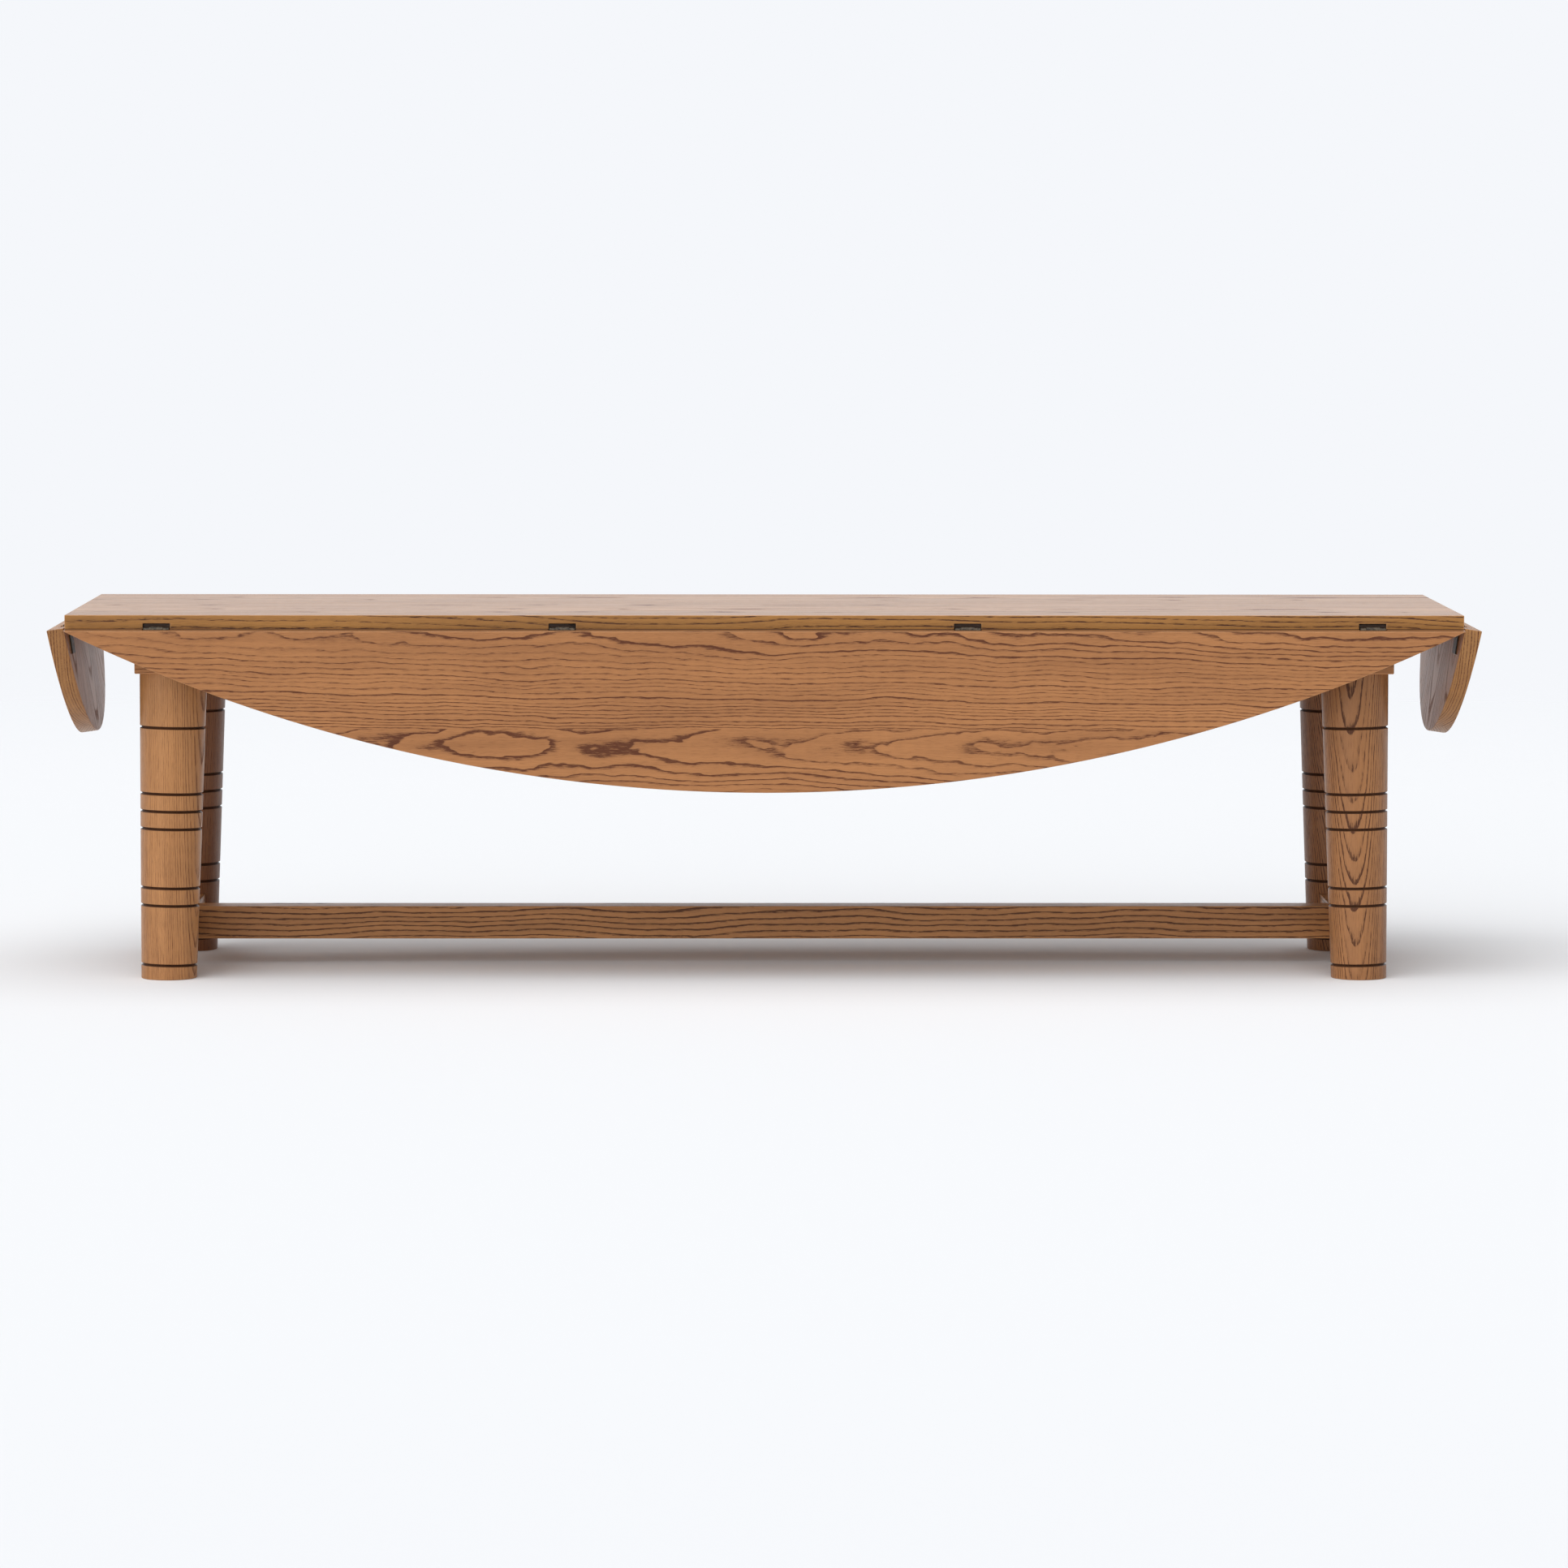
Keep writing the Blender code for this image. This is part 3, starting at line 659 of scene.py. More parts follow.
def eased_part(node, materials, ease=BOARD_EASE, segments=3, choose=None):
    """The finished copy of one part. choose(face) gives the number of a face's material."""
    shape = merged_bmesh(node)
    ease_edges(shape, sharp_edges(shape, 3 * ease), ease, segments)
    if choose:
        for face in shape.faces:
            face.material_index = int(choose(face))
    body = nodes[node]["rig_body"]
    return finish_piece(node + "_eased", shape, materials, body, (node,))


print("sharp edges are over", round(math.degrees(SHARP_ANGLE)), "degrees")

# %% [markdown]
# ## The slab top
#
# The top is glued from wide boards and oiled. Its edges show the rings as thin dark lines
# one above another, bolder and yellower than on the face, because an edge is worked less
# smooth and drinks more oil. The notches that house the hinges are painted dark inside, as
# painted shade. So the slab has three woods that share one tree, and each face of the mesh
# picks its own by where it lies and which way it looks.

# %% Finish the slab
slab_low, slab_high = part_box("top_slab")
slab_place = board_place((0, 0, slab_high.z), (1, 0, 0), (0, 0, 1))
SLAB_LIGHT = (0.47, 0.224, 0.071, 1)
EDGE_LIGHT = (0.54, 0.252, 0.064, 1)
EDGE_DARK = (0.070, 0.018, 0.004, 1)
SLAB_GRAIN = dict(
    seed=4.0,
    board_width=0.1552,
    board_shift=0.388,
    ring_width=0.0075,
    heart_depth=0.13,
    climb=0.02,
    ripple=0.003,
    rubbed=0.95,
)
slab_finish = wood_finish(
    "slab wood", slab_place, light=SLAB_LIGHT, polish=0.26, lines=0.85, **SLAB_GRAIN
)
slab_edge_finish = wood_finish(
    "slab edge wood", slab_place, light=EDGE_LIGHT, dark=EDGE_DARK, lines=1.8, **SLAB_GRAIN
)
SHADOW_WOOD = dict(light=(0.075, 0.032, 0.014, 1), dark=(0.022, 0.010, 0.005, 1), rubbed=0.0)
# Painted shade inside the hinge notches.
slab_notch_shade_finish = wood_finish("slab notch shade wood", slab_place, seed=4.0, **SHADOW_WOOD)
SKIN = 0.0018  # a face this near the outside belongs to it
LEVEL = 0.7  # a face whose normal rises more than this looks up or down


def slab_wood_of(facet):
    """0 on the top and underside, 1 in the hinge notches, which are painted shade, and 2 on the
    four edges.
    """
    middle = facet.calc_center_median()
    inside_x = min(middle.x - slab_low.x, slab_high.x - middle.x) > SKIN
    inside_y = min(middle.y - slab_low.y, slab_high.y - middle.y) > SKIN
    if inside_x and inside_y and slab_low.z + SKIN < middle.z < slab_high.z - SKIN:
        return 1
    return 0 if abs(facet.normal.z) > LEVEL else 2


slab_woods = [slab_finish, slab_notch_shade_finish, slab_edge_finish]
slab = eased_part("top_slab", slab_woods, choose=slab_wood_of)
print("slab:", len(slab.data.polygons), "faces")

# %% [markdown]
# ## The four leaves
#
# Each leaf is cut from two wide boards. The front one has its grain along the table, so
# its arches lie on their sides. The end leaves have theirs running down the leaf, so that
# the grain lines up with the slab when they are raised. A hanging leaf leans in a little,
# because its hinge pins sit behind its show face: we read that lean from the joint's
# upper limit, which is a right angle plus the lean.

# %% Where each leaf hangs
PIN_TO_FACE = 0.0315
OUTWARD = {
    "front": Vector((0, -1, 0)),
    "back": Vector((0, 1, 0)),
    "left": Vector((-1, 0, 0)),
    "right": Vector((1, 0, 0)),
}
UP = Vector((0, 0, 1))


def leaf_axes(side):
    """The middle of a leaf's pins, and the directions along them, down the leaf and out."""
    joint = joints[side + "_leaf_hinge"]
    lean = math.radians(joint["range_deg"][1] - 90)
    pin = Vector(joint["pos_m"])
    outward = OUTWARD[side]
    along = outward.cross(UP)
    down = -UP * math.cos(lean) - outward * math.sin(lean)
    face = outward * math.cos(lean) - UP * math.sin(lean)
    return pin, along, down, face


for side in OUTWARD:
    pin, along, down, face = leaf_axes(side)
    print(side, "pins at", tuple(round(value, 4) for value in pin))

# %% [markdown]
# A leaf has three woods too. The show faces are oiled and bright. The edge that meets the
# slab, and the hinge notches in it, are painted darker, as painted shade that deepens towards
# the back. The curved edge is sawn across the grain for much of its way, so its lines are bolder.

# %% Sort the faces of a leaf
JOINT_BACK = 0.0030
NOTCH_REACH = 0.0145
END_CLEAR = 0.12
END_SIDES = ("left", "right")
SHOW_FACE, TIP_FACE = 0.5, 0.3  # how squarely a face looks out, or along the pins


def leaf_wood_chooser(side):
    """A function that gives 0 on the show faces, 1 at the joint and 2 on the curved edge."""
    pin, along, down, face = leaf_axes(side)
    low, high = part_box(side + "_leaf")
    half_length = abs((high - low).dot(along)) / 2
    level = min((vert.co - pin).dot(down) for vert in nodes[side + "_leaf"].data.vertices)
    # The joint edge of an end leaf shows at the table's outline, so only its notches take the
    # painted shade.
    lowest = level + SKIN if side in END_SIDES else level

    def wood_of(facet):
        from_pin = facet.calc_center_median() - pin
        if abs(facet.normal.dot(face)) > SHOW_FACE:
            return 0
        inner = -JOINT_BACK < from_pin.dot(face) < PIN_TO_FACE - SKIN
        near = lowest < from_pin.dot(down) < NOTCH_REACH
        at_tip = abs(from_pin.dot(along)) > half_length - END_CLEAR
        looks_along = abs(facet.normal.dot(along)) > TIP_FACE
        return 1 if inner and near and not (at_tip and looks_along) else 2

    return wood_of


print("leaf faces: show, joint and curved edge")

# %% Finish the leaves
LONG_LEAF = dict(board_width=0.27, wander=0.009)
END_LEAF = dict(
    board_width=0.26,
    board_shift=0.39,
    heart_depth=0.34,
    ring_width=0.0058,
    climb=0.05,
    wander=0.004,
    ripple=0.006,
    variety=0.0,
)
LEAF_GRAIN = {
    "front": dict(
        seed=2.0,
        board_shift=0.20,
        heart_across=0.085,
        ring_width=0.0072,
        climb=-0.020,
        ripple=0.020,
        variety=0.3,
        **LONG_LEAF,
    ),
    "back": dict(
        seed=9.0,
        board_shift=0.16,
        heart_across=-0.04,
        climb=0.028,
        ripple=0.018,
        variety=0.4,
        **LONG_LEAF,
    ),
    "left": dict(seed=5.0, **END_LEAF),
    "right": dict(seed=6.0, **END_LEAF),
}
LEAF_EDGE_LIGHT = (0.44, 0.205, 0.062, 1)
# Painted shade: the joint edge and its notches are painted darker, and darker still towards the
# back.
JOINT_PAINTED_SHADE = dict(
    light=(0.30, 0.130, 0.046, 1),
    dark=(0.050, 0.014, 0.004, 1),
    deep=(0.035, 0.016, 0.008, 1),
    rubbed=0.0,
)
for side, grain in LEAF_GRAIN.items():
    pin, along, down, face = leaf_axes(side)
    at_end = side in END_SIDES
    place = board_place(pin + face * PIN_TO_FACE, down if at_end else -along, face)
    leaf_woods = [
        wood_finish(side + " leaf wood", place, lines=0.6 if at_end else 1.05, **grain),
        wood_finish(side + " leaf joint wood", place, **grain, **JOINT_PAINTED_SHADE),
        wood_finish(side + " leaf edge wood", place, light=LEAF_EDGE_LIGHT, lines=1.6, **grain),
    ]
    leaf = eased_part(side + "_leaf", leaf_woods, choose=leaf_wood_chooser(side))
    print(side, "leaf:", len(leaf.data.polygons), "faces")

# %% [markdown]
# ## Apron, slides and stretchers
#
# The apron boards and the stretchers are straight-grained, and each has its show face
# outwards. The stretchers are cut nearer the heart of the tree, so their lines are bolder.
# The slides are narrow sticks with square ends. The blocks, bearers and rail inside are
# never seen from above and were left unoiled, so they are paler and duller.

# %% Finish the aprons and stretchers
APRON_GRAIN = dict(
    heart_across=0.01,
    heart_depth=0.09,
    ring_width=0.0055,
    climb=0.03,
    wander=0.010,
    ripple=0.006,
    variety=0.3,
    lines=0.8,
)
STRETCHER_GRAIN = dict(
    light=(0.45, 0.200, 0.068, 1),
    dark=(0.080, 0.025, 0.004, 1),
    heart_across=0.10,
    heart_depth=0.07,
    ring_width=0.0092,
    climb=0.006,
    wander=0.014,
    ripple=0.014,
    variety=0.3,
    lines=2.0,
)
STRETCHER_EASE = 0.002
STRAIGHT = {
    "front_apron": ((1, 0, 0), OUTWARD["front"], 11.0),
    "back_apron": ((-1, 0, 0), OUTWARD["back"], 12.0),
    "left_apron": ((0, -1, 0), OUTWARD["left"], 13.0),
    "right_apron": ((0, 1, 0), OUTWARD["right"], 14.0),
    "long_stretcher": ((1, 0, 0), OUTWARD["front"], 15.0),
    "end_stretcher_left": ((0, -1, 0), OUTWARD["left"], 16.0),
    "end_stretcher_right": ((0, 1, 0), OUTWARD["right"], 17.0),
}
for node, (along, face, seed) in STRAIGHT.items():
    low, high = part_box(node)
    place = board_place((low + high) / 2 + face * abs((high - low).dot(face)) / 2, along, face)
    stretcher = "stretcher" in node
    grain = STRETCHER_GRAIN if stretcher else APRON_GRAIN
    finish = wood_finish(node.replace("_", " ") + " wood", place, seed=seed, **grain)
    eased_part(node, [finish], ease=STRETCHER_EASE if stretcher else BOARD_EASE)
print(len(STRAIGHT), "aprons and stretchers")

# %% Finish the slides
SLIDE_GRAIN = dict(
    seed=21.0,
    board_width=0.06,
    board_shift=0.0,
    ring_width=0.004,
    heart_across=0.03,
    heart_depth=0.08,
    climb=0.01,
    lines=0.7,
)
cross_slides = [f"{side}_slide_{hand}" for side in ("front", "back") for hand in ("left", "right")]
end_slides = ["left_slide", "right_slide"]
for group_name, members, along in (
    ("cross slide", cross_slides, (0, 1, 0)),
    ("end slide", end_slides, (1, 0, 0)),
):
    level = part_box(members[0])[1].z
    place = board_place((0, 0, level), along, UP)
    finish = wood_finish(group_name + " wood", place, **SLIDE_GRAIN)
    for node in members:
        eased_part(node, [finish])
print(len(cross_slides) + len(end_slides), "slides")

# %% Finish the unoiled blocks, bearers and rail
BARE_GRAIN = dict(
    light=(0.60, 0.415, 0.255, 1),
    dark=(0.33, 0.19, 0.10, 1),
    rubbed=0.2,
    ring_width=0.005,
    heart_across=0.02,
    heart_depth=0.07,
    lines=0.8,
)
BARE_EASE = 0.0012
FIRST_BARE_SEED = 30.0
corners = [f"{side}_{hand}" for side in ("front", "back") for hand in ("left", "right")]
bare_nodes = {f"corner_block_{corner}": (1, 0, 0) for corner in corners}
bare_nodes.update({"cross_bearer_left": (0, 1, 0), "cross_bearer_right": (0, 1, 0)})
bare_nodes["centre_rail"] = (1, 0, 0)
for number, (node, along) in enumerate(bare_nodes.items()):
    low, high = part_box(node)
    place = board_place((low + high) / 2, along, UP)
    name = node.replace("_", " ") + " wood"
    finish = wood_finish(name, place, seed=FIRST_BARE_SEED + number, **BARE_GRAIN)
    eased_part(node, [finish], ease=BARE_EASE)
print(len(bare_nodes), "unoiled pieces")

# %% [markdown]
# ## The turned legs
#
# A leg is turned on a lathe, so Blender's spin is the natural tool: we draw half of its
# outline and sweep it once round the axis. The outline is a plain taper, thicker at the
# top, with seven V-shaped grooves cut by the corner of a chisel. Their lips are softened
# by a few tenths of a millimetre. The leg then leans, so that its outer sides stand
# upright while its inner sides slope.

# %% Draw the outline
FOOT_RADIUS = 0.0575
TOP_RADIUS = 0.070
LEG_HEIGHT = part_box("leg_front_left")[1].z
GROOVE_HALF = 0.00275
GROOVE_DEPTH = 0.0045
GROOVE_HEIGHTS = (0.0290, 0.1530, 0.1895, 0.3123, 0.3488, 0.3853, 0.5227)
LIP = ((0.0012, 0.0), (0.0003, 0.00015), (-0.0003, 0.0008))  # past the groove's half, and down
ROOT_HALF = 0.0007
ROOT_ROUND = 0.0001
SPARE = 0.02  # extra length at both ends, sawn off later


def leg_radius(height):
    return FOOT_RADIUS + (TOP_RADIUS - FOOT_RADIUS) * height / LEG_HEIGHT


def leg_outline():
    """Radius and height of the outline's points, from below the foot to above the top."""
    points = [(0.0, -SPARE), (leg_radius(-SPARE), -SPARE)]
    side = [(GROOVE_HALF + past, cut) for past, cut in LIP]
    side.append((ROOT_HALF, GROOVE_DEPTH - ROOT_HALF))
    climbing = [(-rise, cut) for rise, cut in side] + [(0.0, GROOVE_DEPTH - ROOT_ROUND)]
    falling = side[::-1]
    for height in GROOVE_HEIGHTS:
        for rise, cut in climbing + falling:
            points.append((leg_radius(height + rise) - cut, height + rise))
    top = LEG_HEIGHT + SPARE
    return points + [(leg_radius(top), top), (0.0, top)]


print("leg outline:", len(leg_outline()), "points")

# %% [markdown]
# The ends are sawn level after the leg leans, which is what bisect_plane does, and the
# foot's rim is rounded so it won't splinter. Faces inside the grooves get a second, darker
# material: partly the darker tone that the chisel and the oil leave there, and partly painted
# shade in the grooves. The end stretcher sits in a square housing, so its own box, a hair
# bigger, is cut from the leg.

# %% Turn one leg
LEG_STEPS = 96
HOUSING_GAP = 0.0003
GROOVE_REACH = GROOVE_HALF + 0.0003
CUT_DEPTH = 0.0004  # a face this far below the taper is in a groove


def turned_bmesh():
    """The leg spun from its outline, still upright on its own axis."""
    shape = bmesh.new()
    outline = [shape.verts.new((radius, 0, height)) for radius, height in leg_outline()]
    edges = [shape.edges.new(pair) for pair in zip(outline, outline[1:])]
    bmesh.ops.spin(
        shape,
        geom=outline + edges,
        cent=(0, 0, 0),
        axis=(0, 0, 1),
        angle=2 * math.pi,
        steps=LEG_STEPS,
        use_merge=True,
    )
    bmesh.ops.remove_doubles(shape, verts=shape.verts, dist=1e-5)
    bmesh.ops.recalc_face_normals(shape, faces=shape.faces)
    for face in shape.faces:
        middle = face.calc_center_median()
        depth = leg_radius(middle.z) - math.hypot(middle.x, middle.y)
        near = min(abs(middle.z - height) for height in GROOVE_HEIGHTS)
        # Faces in a groove take the second material, whose darkness is partly painted shade.
        face.material_index = int(near < GROOVE_REACH and depth > CUT_DEPTH)
    return shape


def saw_level(shape, height, outwards):
    """Cuts a shape at a height, closes the cut, and returns the edges round it."""
    sawn = bmesh.ops.bisect_plane(
        shape,
        geom=shape.verts[:] + shape.edges[:] + shape.faces[:],
        plane_co=(0, 0, height),
        plane_no=(0, 0, outwards),
        clear_outer=True,
    )
    rim = [item for item in sawn["geom_cut"] if isinstance(item, bmesh.types.BMEdge)]
    filled = bmesh.ops.holes_fill(shape, edges=rim)
    for face in filled["faces"]:
        face.material_index = 0
    return rim


def block_bmesh(low, high):
    """The box between two corners."""
    block = bmesh.new()
    bmesh.ops.create_cube(block, size=1.0)
    bmesh.ops.scale(block, vec=high - low, verts=block.verts)
    bmesh.ops.translate(block, vec=(high + low) / 2, verts=block.verts)
    return block


def apply_cut(piece, cutter_shape):
    """Subtracts a shape from a piece's mesh by a Boolean, and applies it."""
    cutter = add_object("cutter", mesh_of("cutter", cutter_shape))
    base = add_object("base", piece.data)
    boolean = base.modifiers.new("cut", "BOOLEAN")
    boolean.operation = "DIFFERENCE"
    boolean.solver = "EXACT"
    boolean.object = cutter
    graph = bpy.context.evaluated_depsgraph_get()
    piece.data = bpy.data.meshes.new_from_object(base.evaluated_get(graph))
    piece.data.name = piece.name
    bpy.data.objects.remove(base)
    bpy.data.objects.remove(cutter)


print("a leg has", LEG_STEPS, "flats")

# %% Turn the four legs
LEG_GRAIN_AND_SHADE = {
    "front_left": dict(
        light=(0.53, 0.245, 0.088, 1),
        seed=41.0,
        heart_across=0.30,
        heart_depth=0.10,
        climb=0.02,
        ring_width=0.0034,
        lines=0.6,
    ),
    # The front right leg's darker light colour is partly its own darker board and partly painted
    # shade.
    "front_right": dict(
        light=(0.40, 0.176, 0.064, 1),
        dark=(0.085, 0.024, 0.004, 1),
        seed=42.0,
        heart_across=-0.05,
        heart_depth=0.24,
        climb=0.045,
        ring_width=0.0031,
        lines=2.0,
    ),
    # The back legs' darker light colours are painted shade: they stand under the table.
    "back_left": dict(
        light=(0.27, 0.108, 0.038, 1),
        seed=43.0,
        heart_across=-0.20,
        heart_depth=0.16,
        climb=0.03,
        ring_width=0.0036,
        lines=1.2,
    ),
    "back_right": dict(
        light=(0.34, 0.142, 0.050, 1),
        dark=(0.070, 0.020, 0.004, 1),
        seed=44.0,
        heart_across=0.03,
        heart_depth=0.22,
        climb=0.04,
        ring_width=0.0031,
        lines=2.0,
    ),
}
LEG_FIGURE = dict(wander=0.006, ripple=0.0045, variety=0.0)
# Painted shade in the grooves, together with their darker oiled tone.
GROOVE_OIL_AND_SHADE = dict(light=(0.105, 0.042, 0.018, 1), dark=(0.030, 0.012, 0.006, 1), rubbed=0.0)
FOOT_EASE = 0.002
for corner, grain in LEG_GRAIN_AND_SHADE.items():
    node = "leg_" + corner
    low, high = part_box(node)
    left, front = "left" in corner, "front" in corner
    outer = Vector((low.x if left else high.x, low.y if front else high.y, 0))
    inward = Vector((-math.copysign(1, outer.x), -math.copysign(1, outer.y), 0))
    foot = outer + inward * FOOT_RADIUS
    top = outer + inward * TOP_RADIUS + UP * LEG_HEIGHT
    shape = turned_bmesh()
    lean = (top - foot).to_track_quat("Z", "X").to_matrix().to_4x4()
    bmesh.ops.transform(shape, matrix=Matrix.Translation(foot) @ lean, verts=shape.verts)
    foot_rim = saw_level(shape, 0.0, -1)
    saw_level(shape, LEG_HEIGHT, 1)
    ease_edges(shape, [edge for edge in foot_rim if edge.is_valid], FOOT_EASE, 3)
    place = board_place(foot, UP, OUTWARD["front"])
    board_name = corner.replace("_", " ")
    grain = {**grain, **LEG_FIGURE}
    finish = wood_finish(board_name + " leg wood", place, **grain)
    groove_oil_and_shade_finish = wood_finish(board_name + " groove oil and shade wood", place, **{**grain, **GROOVE_OIL_AND_SHADE})
    leg_woods, body = [finish, groove_oil_and_shade_finish], nodes[node]["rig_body"]
    leg = finish_piece(node + "_turned", shape, leg_woods, body, (node,))
    low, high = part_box("end_stretcher_left" if left else "end_stretcher_right")
    gap = Vector((HOUSING_GAP,) * 3)
    apply_cut(leg, block_bmesh(low - gap, high + gap))
    print(node, len(leg.data.polygons), "faces")

# %% [markdown]
# ## Hinges and their screws
#
# Every hinge is a pair of small plates with rolled knuckles on one pin. The plates are
# let in under the slab and behind the leaf, each held by three slotted screws whose
# heads lie flush in countersunk holes. The plates' corners and edges are only just
# broken, as on cast hardware. A screw and its hole are both made from one cone.

# %% Shape one screw
SCREW_HEAD = 0.0040
SCREW_SHANK = 0.0019
SCREW_STEPS = 24
PLATE_THICKNESS = 0.0025
SLOT_WIDTH = 0.0009
SLOT_DEPTH = 0.0007


def cone_bmesh(room=0.0, over=0.0):
    """A screw head's cone, just below z = 0, or one wider by room and longer by over."""
    slope = (SCREW_HEAD - SCREW_SHANK) / PLATE_THICKNESS
    shape = bmesh.new()
    bmesh.ops.create_cone(
        shape,
        cap_ends=True,
        segments=SCREW_STEPS,
        radius1=SCREW_SHANK + room - slope * over,
        radius2=SCREW_HEAD + room + slope * over,
        depth=PLATE_THICKNESS + 2 * over,
    )
    bmesh.ops.translate(shape, vec=(0, 0, -PLATE_THICKNESS / 2), verts=shape.verts)
    return shape


def screw_bmesh():
    """A countersunk head with a cut slot, its flat face at z = 0 looking up."""
    shape = cone_bmesh()
    for offset in (-SLOT_WIDTH / 2, SLOT_WIDTH / 2):
        bmesh.ops.bisect_plane(
            shape,
            geom=shape.verts[:] + shape.edges[:] + shape.faces[:],
            plane_co=(0, offset, 0),
            plane_no=(0, 1, 0),
        )
    slot = [
        face
        for face in shape.faces
        if abs(face.calc_center_median().y) < SLOT_WIDTH / 2 and face.normal.z > LEVEL
    ]
    sunk = bmesh.ops.extrude_face_region(shape, geom=slot)
    bmesh.ops.delete(shape, geom=slot, context="FACES")
    moved = [item for item in sunk["geom"] if isinstance(item, bmesh.types.BMVert)]
    bmesh.ops.translate(shape, vec=(0, 0, -SLOT_DEPTH), verts=moved)
    return shape


print("screw head:", round(2000 * SCREW_HEAD, 1), "mm across")

# %% [markdown]
# The holes are cut by a Boolean with cones a little wider than the screws, which leaves
# the fine dark ring that shows round a real screw. Each slot stops at an angle of its own.

# %% Place the screws
HOLE_ROOM = 0.00025
HOLE_OVER = 0.0004  # a hair over the plate's face
HOLE_SPREAD = 0.0175
PLATE_FACE = 0.0063  # from the pin to a plate's outer face
FIXED_REACHES = (0.0240, 0.0415)  # from the pin to the near screw and the far pair
LEAF_REACHES = (0.0250, 0.0450)


def joined_copies(make, places):
    """One bmesh holding a copy of a shape at each place."""
    joined = bmesh.new()
    for place in places:
        shape = make()
        bmesh.ops.transform(shape, matrix=place, verts=shape.verts)
        mesh = mesh_of("copy", shape)
        joined.from_mesh(mesh)
        bpy.data.meshes.remove(mesh)
    return joined


def slot_turn(number, origin):
    return Matrix.Rotation(1.1 * number + 7.0 * origin.x + 3.0 * origin.y, 4, "Z")


def screw_places(origin, along, away, face, reaches):
    """Frames for three screws: two far from the pin and one near it."""
    near, far = reaches
    spots = ((-HOLE_SPREAD, far), (0.0, near), (HOLE_SPREAD, far))
    return [
        board_place(origin + along * across + away * reach, along, face)
        @ slot_turn(number, origin)
        for number, (across, reach) in enumerate(spots)
    ]


print("a hole is", round(1000 * HOLE_ROOM, 2), "mm wider all round than its screw")

# %% [markdown]
# A leaf plate's middle knuckle is stouter than the two beside it, and nearly fills the
# notch. We swell it about the pin before the plate's edges are broken.

# %% Fit every plate
KNUCKLE_RADIUS = 0.0065
MIDDLE_KNUCKLE_RADIUS = 0.0084
KNUCKLE_REACH = 0.0141
ON_BARREL = 0.0004
PLATE_EASE = 0.0003


def swell_knuckle(shape, along, centre):
    """Makes a leaf plate's middle knuckle stouter, about the pin."""
    for vert in shape.verts:
        from_centre = vert.co - centre
        radial = from_centre - along * from_centre.dot(along)
        on_barrel = abs(radial.length - KNUCKLE_RADIUS) < ON_BARREL
        if on_barrel and abs(from_centre.dot(along)) < KNUCKLE_REACH:
            vert.co += radial * (MIDDLE_KNUCKLE_RADIUS / radial.length - 1)


plates = [node for node in nodes if node.endswith("_plate")]
for node in plates:
    side = node.split("_")[0]
    pin, along, down, face = leaf_axes(side)
    low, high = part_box(node)
    centre = pin + along * ((low + high) / 2 - pin).dot(along)
    shape = merged_bmesh(node)
    if node.endswith("fixed_plate"):
        away, show, reaches = -OUTWARD[side], -UP, FIXED_REACHES
    else:
        away, show, reaches = down, -face, LEAF_REACHES
        swell_knuckle(shape, along, centre)
    ease_edges(shape, sharp_edges(shape, 1.5 * PLATE_EASE), PLATE_EASE, 2)
    body = nodes[node]["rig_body"]
    plate = finish_piece(node + "_bronze", shape, [bronze_finish], body, (node,))
    places = screw_places(centre + show * PLATE_FACE, along, away, show, reaches)
    apply_cut(plate, joined_copies(lambda: cone_bmesh(HOLE_ROOM, HOLE_OVER), places))
    screws = joined_copies(screw_bmesh, places)
    finish_piece(node.replace("_plate", "_screws"), screws, [bronze_finish], body)
print(len(plates), "plates and", 3 * len(plates), "screws")

# %% [markdown]
# ## Bolts
#
# A bolt goes up through each corner block into its leg. Only its head shows, from below.

# %% Finish the bolts
for corner in corners:
    node = "leg_bolt_" + corner
    eased_part(node, [steel_finish], ease=0.0005, segments=2)
print(len(corners), "bolts")

# %% [markdown]
# ## Floor, light and background
#
# The floor and the world are the same pale studio white. The floor fades out before its
# rim, so no horizon shows. Two broad suns light the table: the one overhead gives the
# soft shadow underneath, and the one from the front left models the legs.

# %% Lay the floor
FLOOR_RADIUS = 12.0
FLOOR_DROP = 0.0002  # keeps the floor clear of the feet
FADE_FROM_TO = (4.0, 10.0)  # metres out
BACKGROUND = (0.913, 0.930, 0.965, 1)
FLOOR_COLOUR = (0.955, 0.972, 1.0, 1)

floor_shape = bmesh.new()
bmesh.ops.create_circle(floor_shape, cap_ends=True, segments=96, radius=FLOOR_RADIUS)
bmesh.ops.translate(floor_shape, vec=(0, 0, -FLOOR_DROP), verts=floor_shape.verts)
floor = add_object("floor", mesh_of("floor", floor_shape))

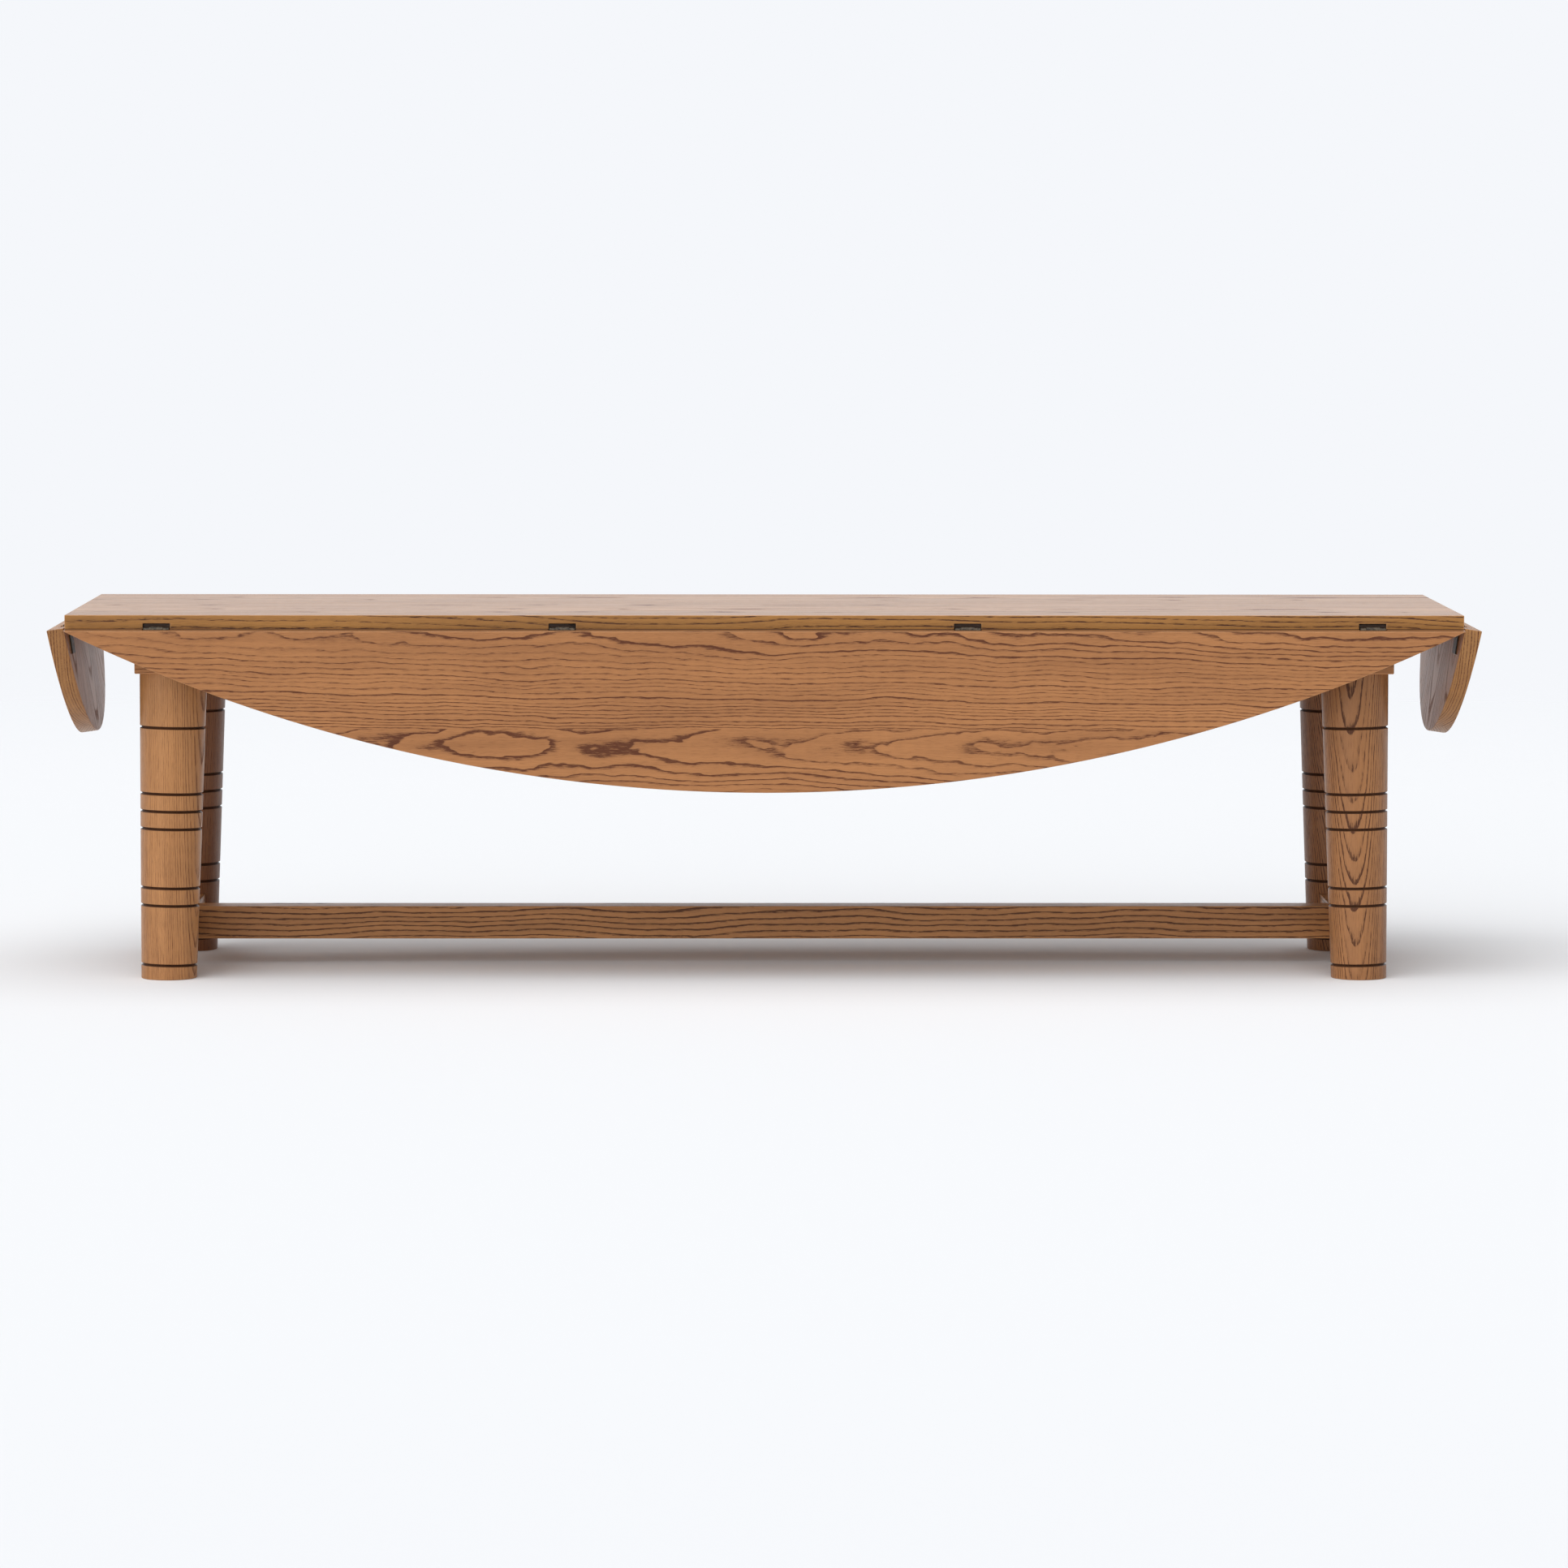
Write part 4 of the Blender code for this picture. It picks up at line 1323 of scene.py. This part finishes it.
floor_finish, bench, shader = new_material("studio floor")
shader.inputs["Base Color"].default_value = FLOOR_COLOUR
shader.inputs["Roughness"].default_value = 0.9
shader.inputs["Specular IOR Level"].default_value = 0.0
coordinates = bench.node("ShaderNodeTexCoord").outputs["Object"]
distance = bench.node("ShaderNodeVectorMath", operation="LENGTH")
bench.feed(distance.inputs[0], coordinates)
fade = bench.ramp(distance.outputs["Value"], *FADE_FROM_TO)
blend = bench.node("ShaderNodeMixShader")
bench.feed(blend.inputs[0], fade)
bench.feed(blend.inputs[1], shader.outputs[0])
bench.feed(blend.inputs[2], bench.node("ShaderNodeBsdfTransparent").outputs[0])
surface = floor_finish.node_tree.nodes["Material Output"].inputs["Surface"]
bench.feed(surface, blend.outputs[0])
floor.data.materials.append(floor_finish)
print("floor radius:", FLOOR_RADIUS)

# %% Light the world
WORLD_LIGHT = 0.29

world = bpy.data.worlds.new("studio")
bpy.context.scene.world = world
world.use_nodes = True
bench = Bench(world.node_tree)
light = world.node_tree.nodes["Background"]
light.inputs["Color"].default_value = (1, 1, 1, 1)
light.inputs["Strength"].default_value = WORLD_LIGHT
seen = bench.node("ShaderNodeBackground")
seen.inputs["Color"].default_value = BACKGROUND
rays = bench.node("ShaderNodeLightPath").outputs
direct = bench.sum(
    "MAXIMUM",
    rays["Is Camera Ray"],
    bench.sum("MAXIMUM", rays["Is Glossy Ray"], rays["Is Transmission Ray"]),
)
choose = bench.node("ShaderNodeMixShader")
bench.feed(choose.inputs[0], direct)
bench.feed(choose.inputs[1], light.outputs[0])
bench.feed(choose.inputs[2], seen.outputs[0])
bench.feed(world.node_tree.nodes["World Output"].inputs["Surface"], choose.outputs[0])
print("world light:", WORLD_LIGHT)

# %% Hang the lamps
LAMPS = (  # name, strength, and in degrees its spread, height and turn
    ("overhead lamp", 1.20, 70, 84, 10),
    ("front left lamp", 1.62, 80, 38, -38),
)
for name, strength, spread, elevation, azimuth in LAMPS:
    lamp_data = bpy.data.lights.new(name, "SUN")
    lamp_data.energy = strength
    lamp_data.angle = math.radians(spread)
    lamp = add_object(name, lamp_data)
    rise, turn = math.radians(elevation), math.radians(azimuth)
    towards = Vector(
        (math.sin(turn) * math.cos(rise), -math.cos(turn) * math.cos(rise), math.sin(rise))
    )
    lamp.rotation_euler = towards.to_track_quat("Z", "Y").to_euler()
    print(name, strength)
bpy.context.scene.view_settings.view_transform = "Standard"
